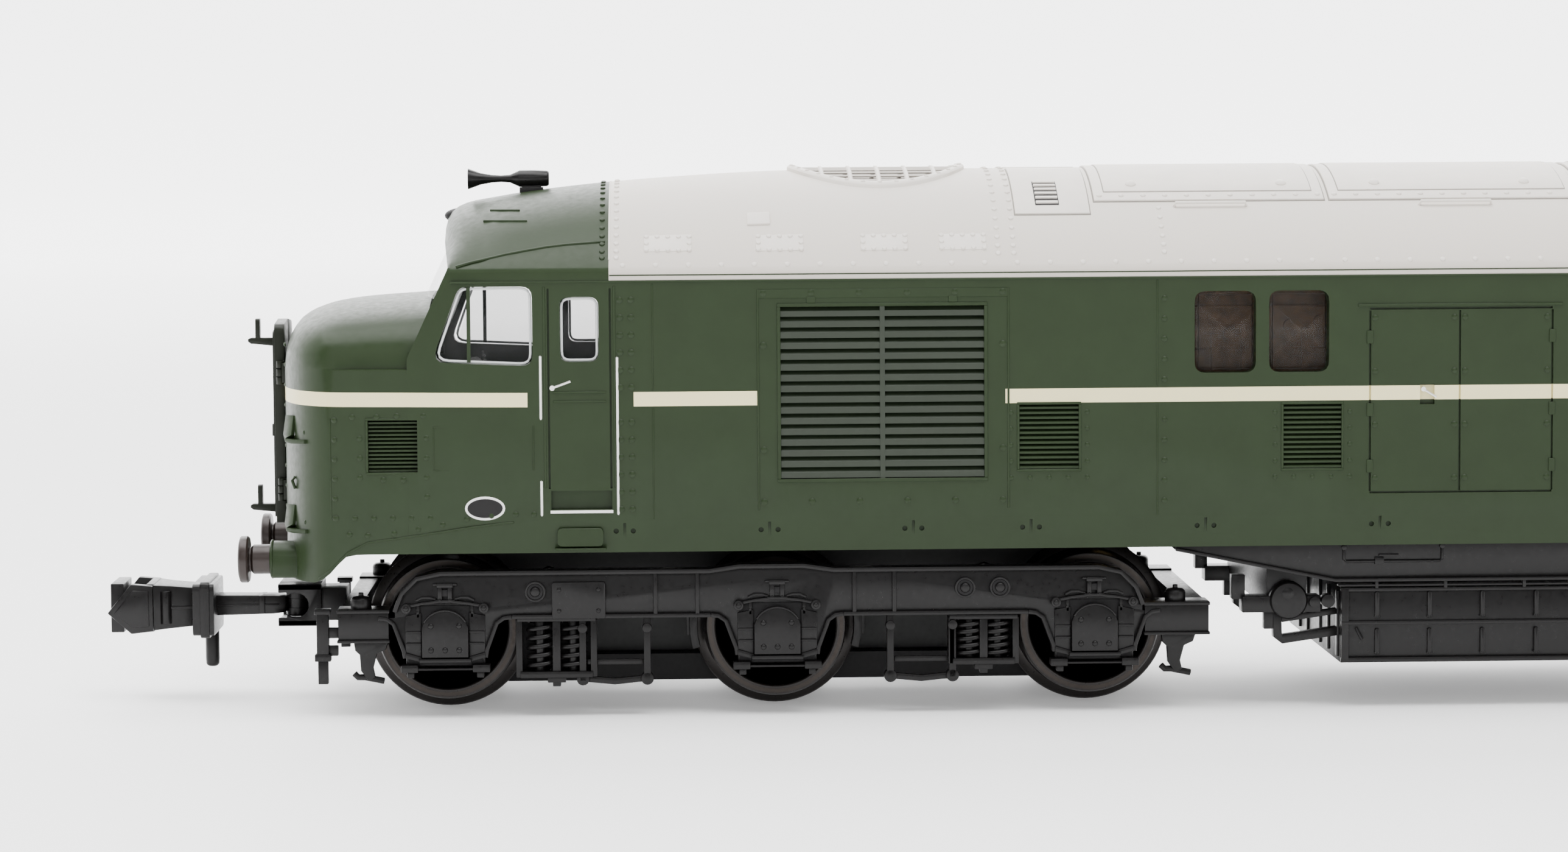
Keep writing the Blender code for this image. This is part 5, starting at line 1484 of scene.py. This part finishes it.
        # slim pillar in the side window
        w.prism([(s * 51.42, 17.70), (s * 51.24, 17.70), (s * 51.24, 21.40), (s * 51.42, 21.40)], 'xz', q * 9.0, q * 9.30)
    w.obj("window_pillars_%s" % e, "chassis", "body_green")


for e, s in (("a", -1), ("b", 1)):
    couplings(e, s)
    nose_fittings(e, s)
    cab_parts(e, s)


# ------------------------------------------------------------------ engine room windows, underframe, battery box
def mid_parts():
    for q, side in ((-1, "left"), (1, "right")):
        g = Build().use("glass")
        g.box(-16.4, 16.4, q * 8.10, q * 8.56, 16.3, 21.3)
        for a, c in ENGINE_WINDOWS:
            pp = rounded([(a + 0.08, 16.98), (c - 0.08, 16.98), (c - 0.08, 20.85), (a + 0.08, 20.85)], 0.5)
            g.prism(pp, 'xz', q * 8.5, q * 9.24)
        g.obj("engine_windows_%s" % side, "chassis", "glazing", replaces="side_glazing_%s" % side, bevel=0.04, seg=2)
        p = Build().use("engine")
        p.box(-16.4, 16.4, q * 7.46, q * 7.62, 16.3, 21.3)
        for i in range(22):
            x = -16.0 + i * 1.5
            p.box(x, x + 0.55, q * 7.5, q * 7.75, 16.5, 18.3 + 0.9 * ((i * 7) % 5) / 4)
            p.cyl('y', (x + 0.95, q * 7.62, 19.3 - 0.6 * ((i * 3) % 4) / 3), 0.34, 0.26, 14)
        p.tube([(-16.2, q * 7.66, 20.1), (16.2, q * 7.66, 20.1)], 0.09, 6)
        p.tube([(-16.2, q * 7.66, 18.0), (16.2, q * 7.66, 18.0)], 0.07, 6)
        p.obj("engine_scene_%s" % side, "chassis", "insert_print", replaces="engine_insert_%s" % side)
    u = Build().use("black")
    out = [(-16.4, 8.14), (-16.3, 7.95), (-8.36, 6.32), (8.36, 6.32), (16.3, 7.95), (16.4, 8.14), (14.0, 9.2), (-14.0, 9.2)]
    u.prism(out, 'xz', -8.3, 8.3)
    for q in (-1, 1):
        arc_strip(u, [(-16.35, 8.05), (-8.36, 6.42), (8.36, 6.42), (16.35, 8.05)], 0.16, q * 8.2, q * 8.55)
        arc_strip(u, [(-8.2, 6.15), (8.2, 6.15)], 0.10, q * 7.9, q * 8.45)
        for x in (-6.3, -2.85, 1.1, 4.6):
            u.box(x - 0.08, x + 0.08, q * 8.1, q * 8.5, 6.0, 6.45)
        # valve with its pipe
        for x0 in (-7.94,):
            u.tube([(x0, q * 8.36, 8.05), (x0, q * 8.38, 7.45), (x0 + 0.12, q * 8.38, 7.35), (-3.14, q * 8.38, 7.35), (-3.02, q * 8.38, 7.45), (-3.02, q * 8.36, 8.1)], 0.075, 8)
        u.box(-6.4, -5.95, q * 8.3, q * 8.5, 7.2, 7.55)
        u.box(-6.2, -5.2, q * 8.3, q * 8.46, 7.6, 7.7)
        u.cyl('y', (-7.94, q * 8.34, 8.05), 0.13, 0.3, 12)
        u.cyl('y', (-3.02, q * 8.34, 8.10), 0.13, 0.3, 12)
    for s in (-1, 1):
        u.box(s * 9.6, s * 11.6, -7.0, 7.0, 4.9, 7.4)
        for q in (-1, 1):
            # reservoir end, brake cylinder, strap and hanger
            u.lathe([(0.0, 0.0), (0.86, 0.0), (0.95, 0.12), (0.95, 1.0), (0.86, 1.12), (0.0, 1.12)], 'y', (s * 10.6, q * 6.75, 5.35), 28, flip=(q < 0))
            u.box(s * 12.9, s * 9.0, q * 6.4, q * 7.7, 4.75, 5.55)
            u.lathe([(0.30, 0), (0.30, 0.2), (0.0, 0.24)], 'y', (s * 10.65, q * 7.68, 5.7), 20, flip=(q < 0))
            u.lathe([(0.50, 0), (0.50, 0.10), (0.36, 0.10), (0.36, 0.0)], 'y', (s * 10.65, q * 7.68, 5.7), 24, flip=(q < 0))
            u.box(s * 13.4, s * 12.75, q * 6.6, q * 7.4, 5.4, 6.6)
            u.box(s * 11.8, s * 11.35, q * 6.9, q * 7.5, 3.9, 4.9)
            arc_strip(u, [(s * 11.15, 4.8), (s * 11.1, 3.5), (s * 10.9, 3.35), (s * 8.1, 3.75)], 0.42, q * 6.8, q * 7.5)
            arc_strip(u, [(s * 10.9, 4.35), (s * 8.1, 4.75)], 0.28, q * 6.9, q * 7.4)
            u.cyl('y', (s * 9.3, q * 7.5, 5.25), 0.28, 0.8, 16)
            u.cyl('y', (s * 8.65, q * 7.6, 5.32), 0.33, 0.8, 16)
    u.obj("underframe_tanks", "chassis", "black_plastic", replaces="underframe", bevel=0.03, seg=2)
    t = Build().use("black")
    t.box(-8.05, 8.05, -8.1, 8.1, 2.23, 6.0)
    for q in (-1, 1):
        t.box(-8.05, 8.05, q * 8.0, q * 8.34, 4.16, 4.34)
        t.box(-8.05, 8.05, q * 8.0, q * 8.30, 2.26, 2.5)
        t.box(-8.05, 8.05, q * 8.0, q * 8.28, 5.82, 6.0)
        for x in (-6.24, -3.60, -0.94, 1.77, 4.42, 7.05):
            for z0, z1 in ((4.5, 5.8), (2.65, 3.95)):
                t.prism(rounded([(x - 0.11, z0), (x + 0.11, z0), (x + 0.11, z1), (x - 0.11, z1)], 0.1), 'xz', q * 8.0, q * 8.28)
                for dx in (-0.09, 0.09):
                    t.dome((x + dx, q * 8.27, z0 + 0.05), (0, q, 0), 0.07, 0.05, 6)
        for x in (-7.85, 7.85):
            t.box(x - 0.18, x + 0.18, q * 8.0, q * 8.32, 2.3, 5.95)
        t.tube([(-7.3, q * 8.2, 4.0), (-7.0, q * 8.3, 3.4)], 0.09, 6)
        for s in (-1, 1):
            for y in (2.0, 4.6, 7.4):
                t.box(s * 8.0, s * 8.16, q * (y - 0.25), q * (y + 0.25), 2.5, 5.8)
    t.obj("battery_case", "chassis", "black_plastic", replaces="battery_box", bevel=0.05, seg=2)


M["engine"] = new_mat("engine_print", (0.065, 0.034, 0.015), 0.55, spec=0.2, var=0.35, scale=2200.0, bump=0.1)
mid_parts()


# ------------------------------------------------------------------ looks of the parts kept from the CAD model
def dress(name, mat):
    ob = bpy.data.objects.get(name)
    if ob is None or ob.type != 'MESH':
        return
    for i in range(max(len(ob.material_slots), 1)):
        if i < len(ob.material_slots):
            ob.material_slots[i].link = 'OBJECT'
            ob.material_slots[i].material = M[mat]
        else:
            ob.data.materials.append(M[mat])


KEPT = {"chassis_left": "alloy", "chassis_right": "alloy", "circuit_board": "board", "motor_can": "steel", "motor_end_cap": "black",
        "motor_armature": "copper", "flywheel_a": "brass", "flywheel_b": "brass"}
for e in ("a", "b"):
    KEPT.update({"cardan_shaft_" + e: "acetal", "gear_tower_" + e: "interior", "keeper_plate_" + e: "black_matt", "worm_" + e: "brass",
                 "worm_wheel_" + e: "acetal"})
    for t in ("outer", "inner"):
        for i in (1, 2):
            KEPT["idler_%s_%s_%d" % (e, t, i)] = "acetal"
for name, mat in KEPT.items():
    dress(name, mat)
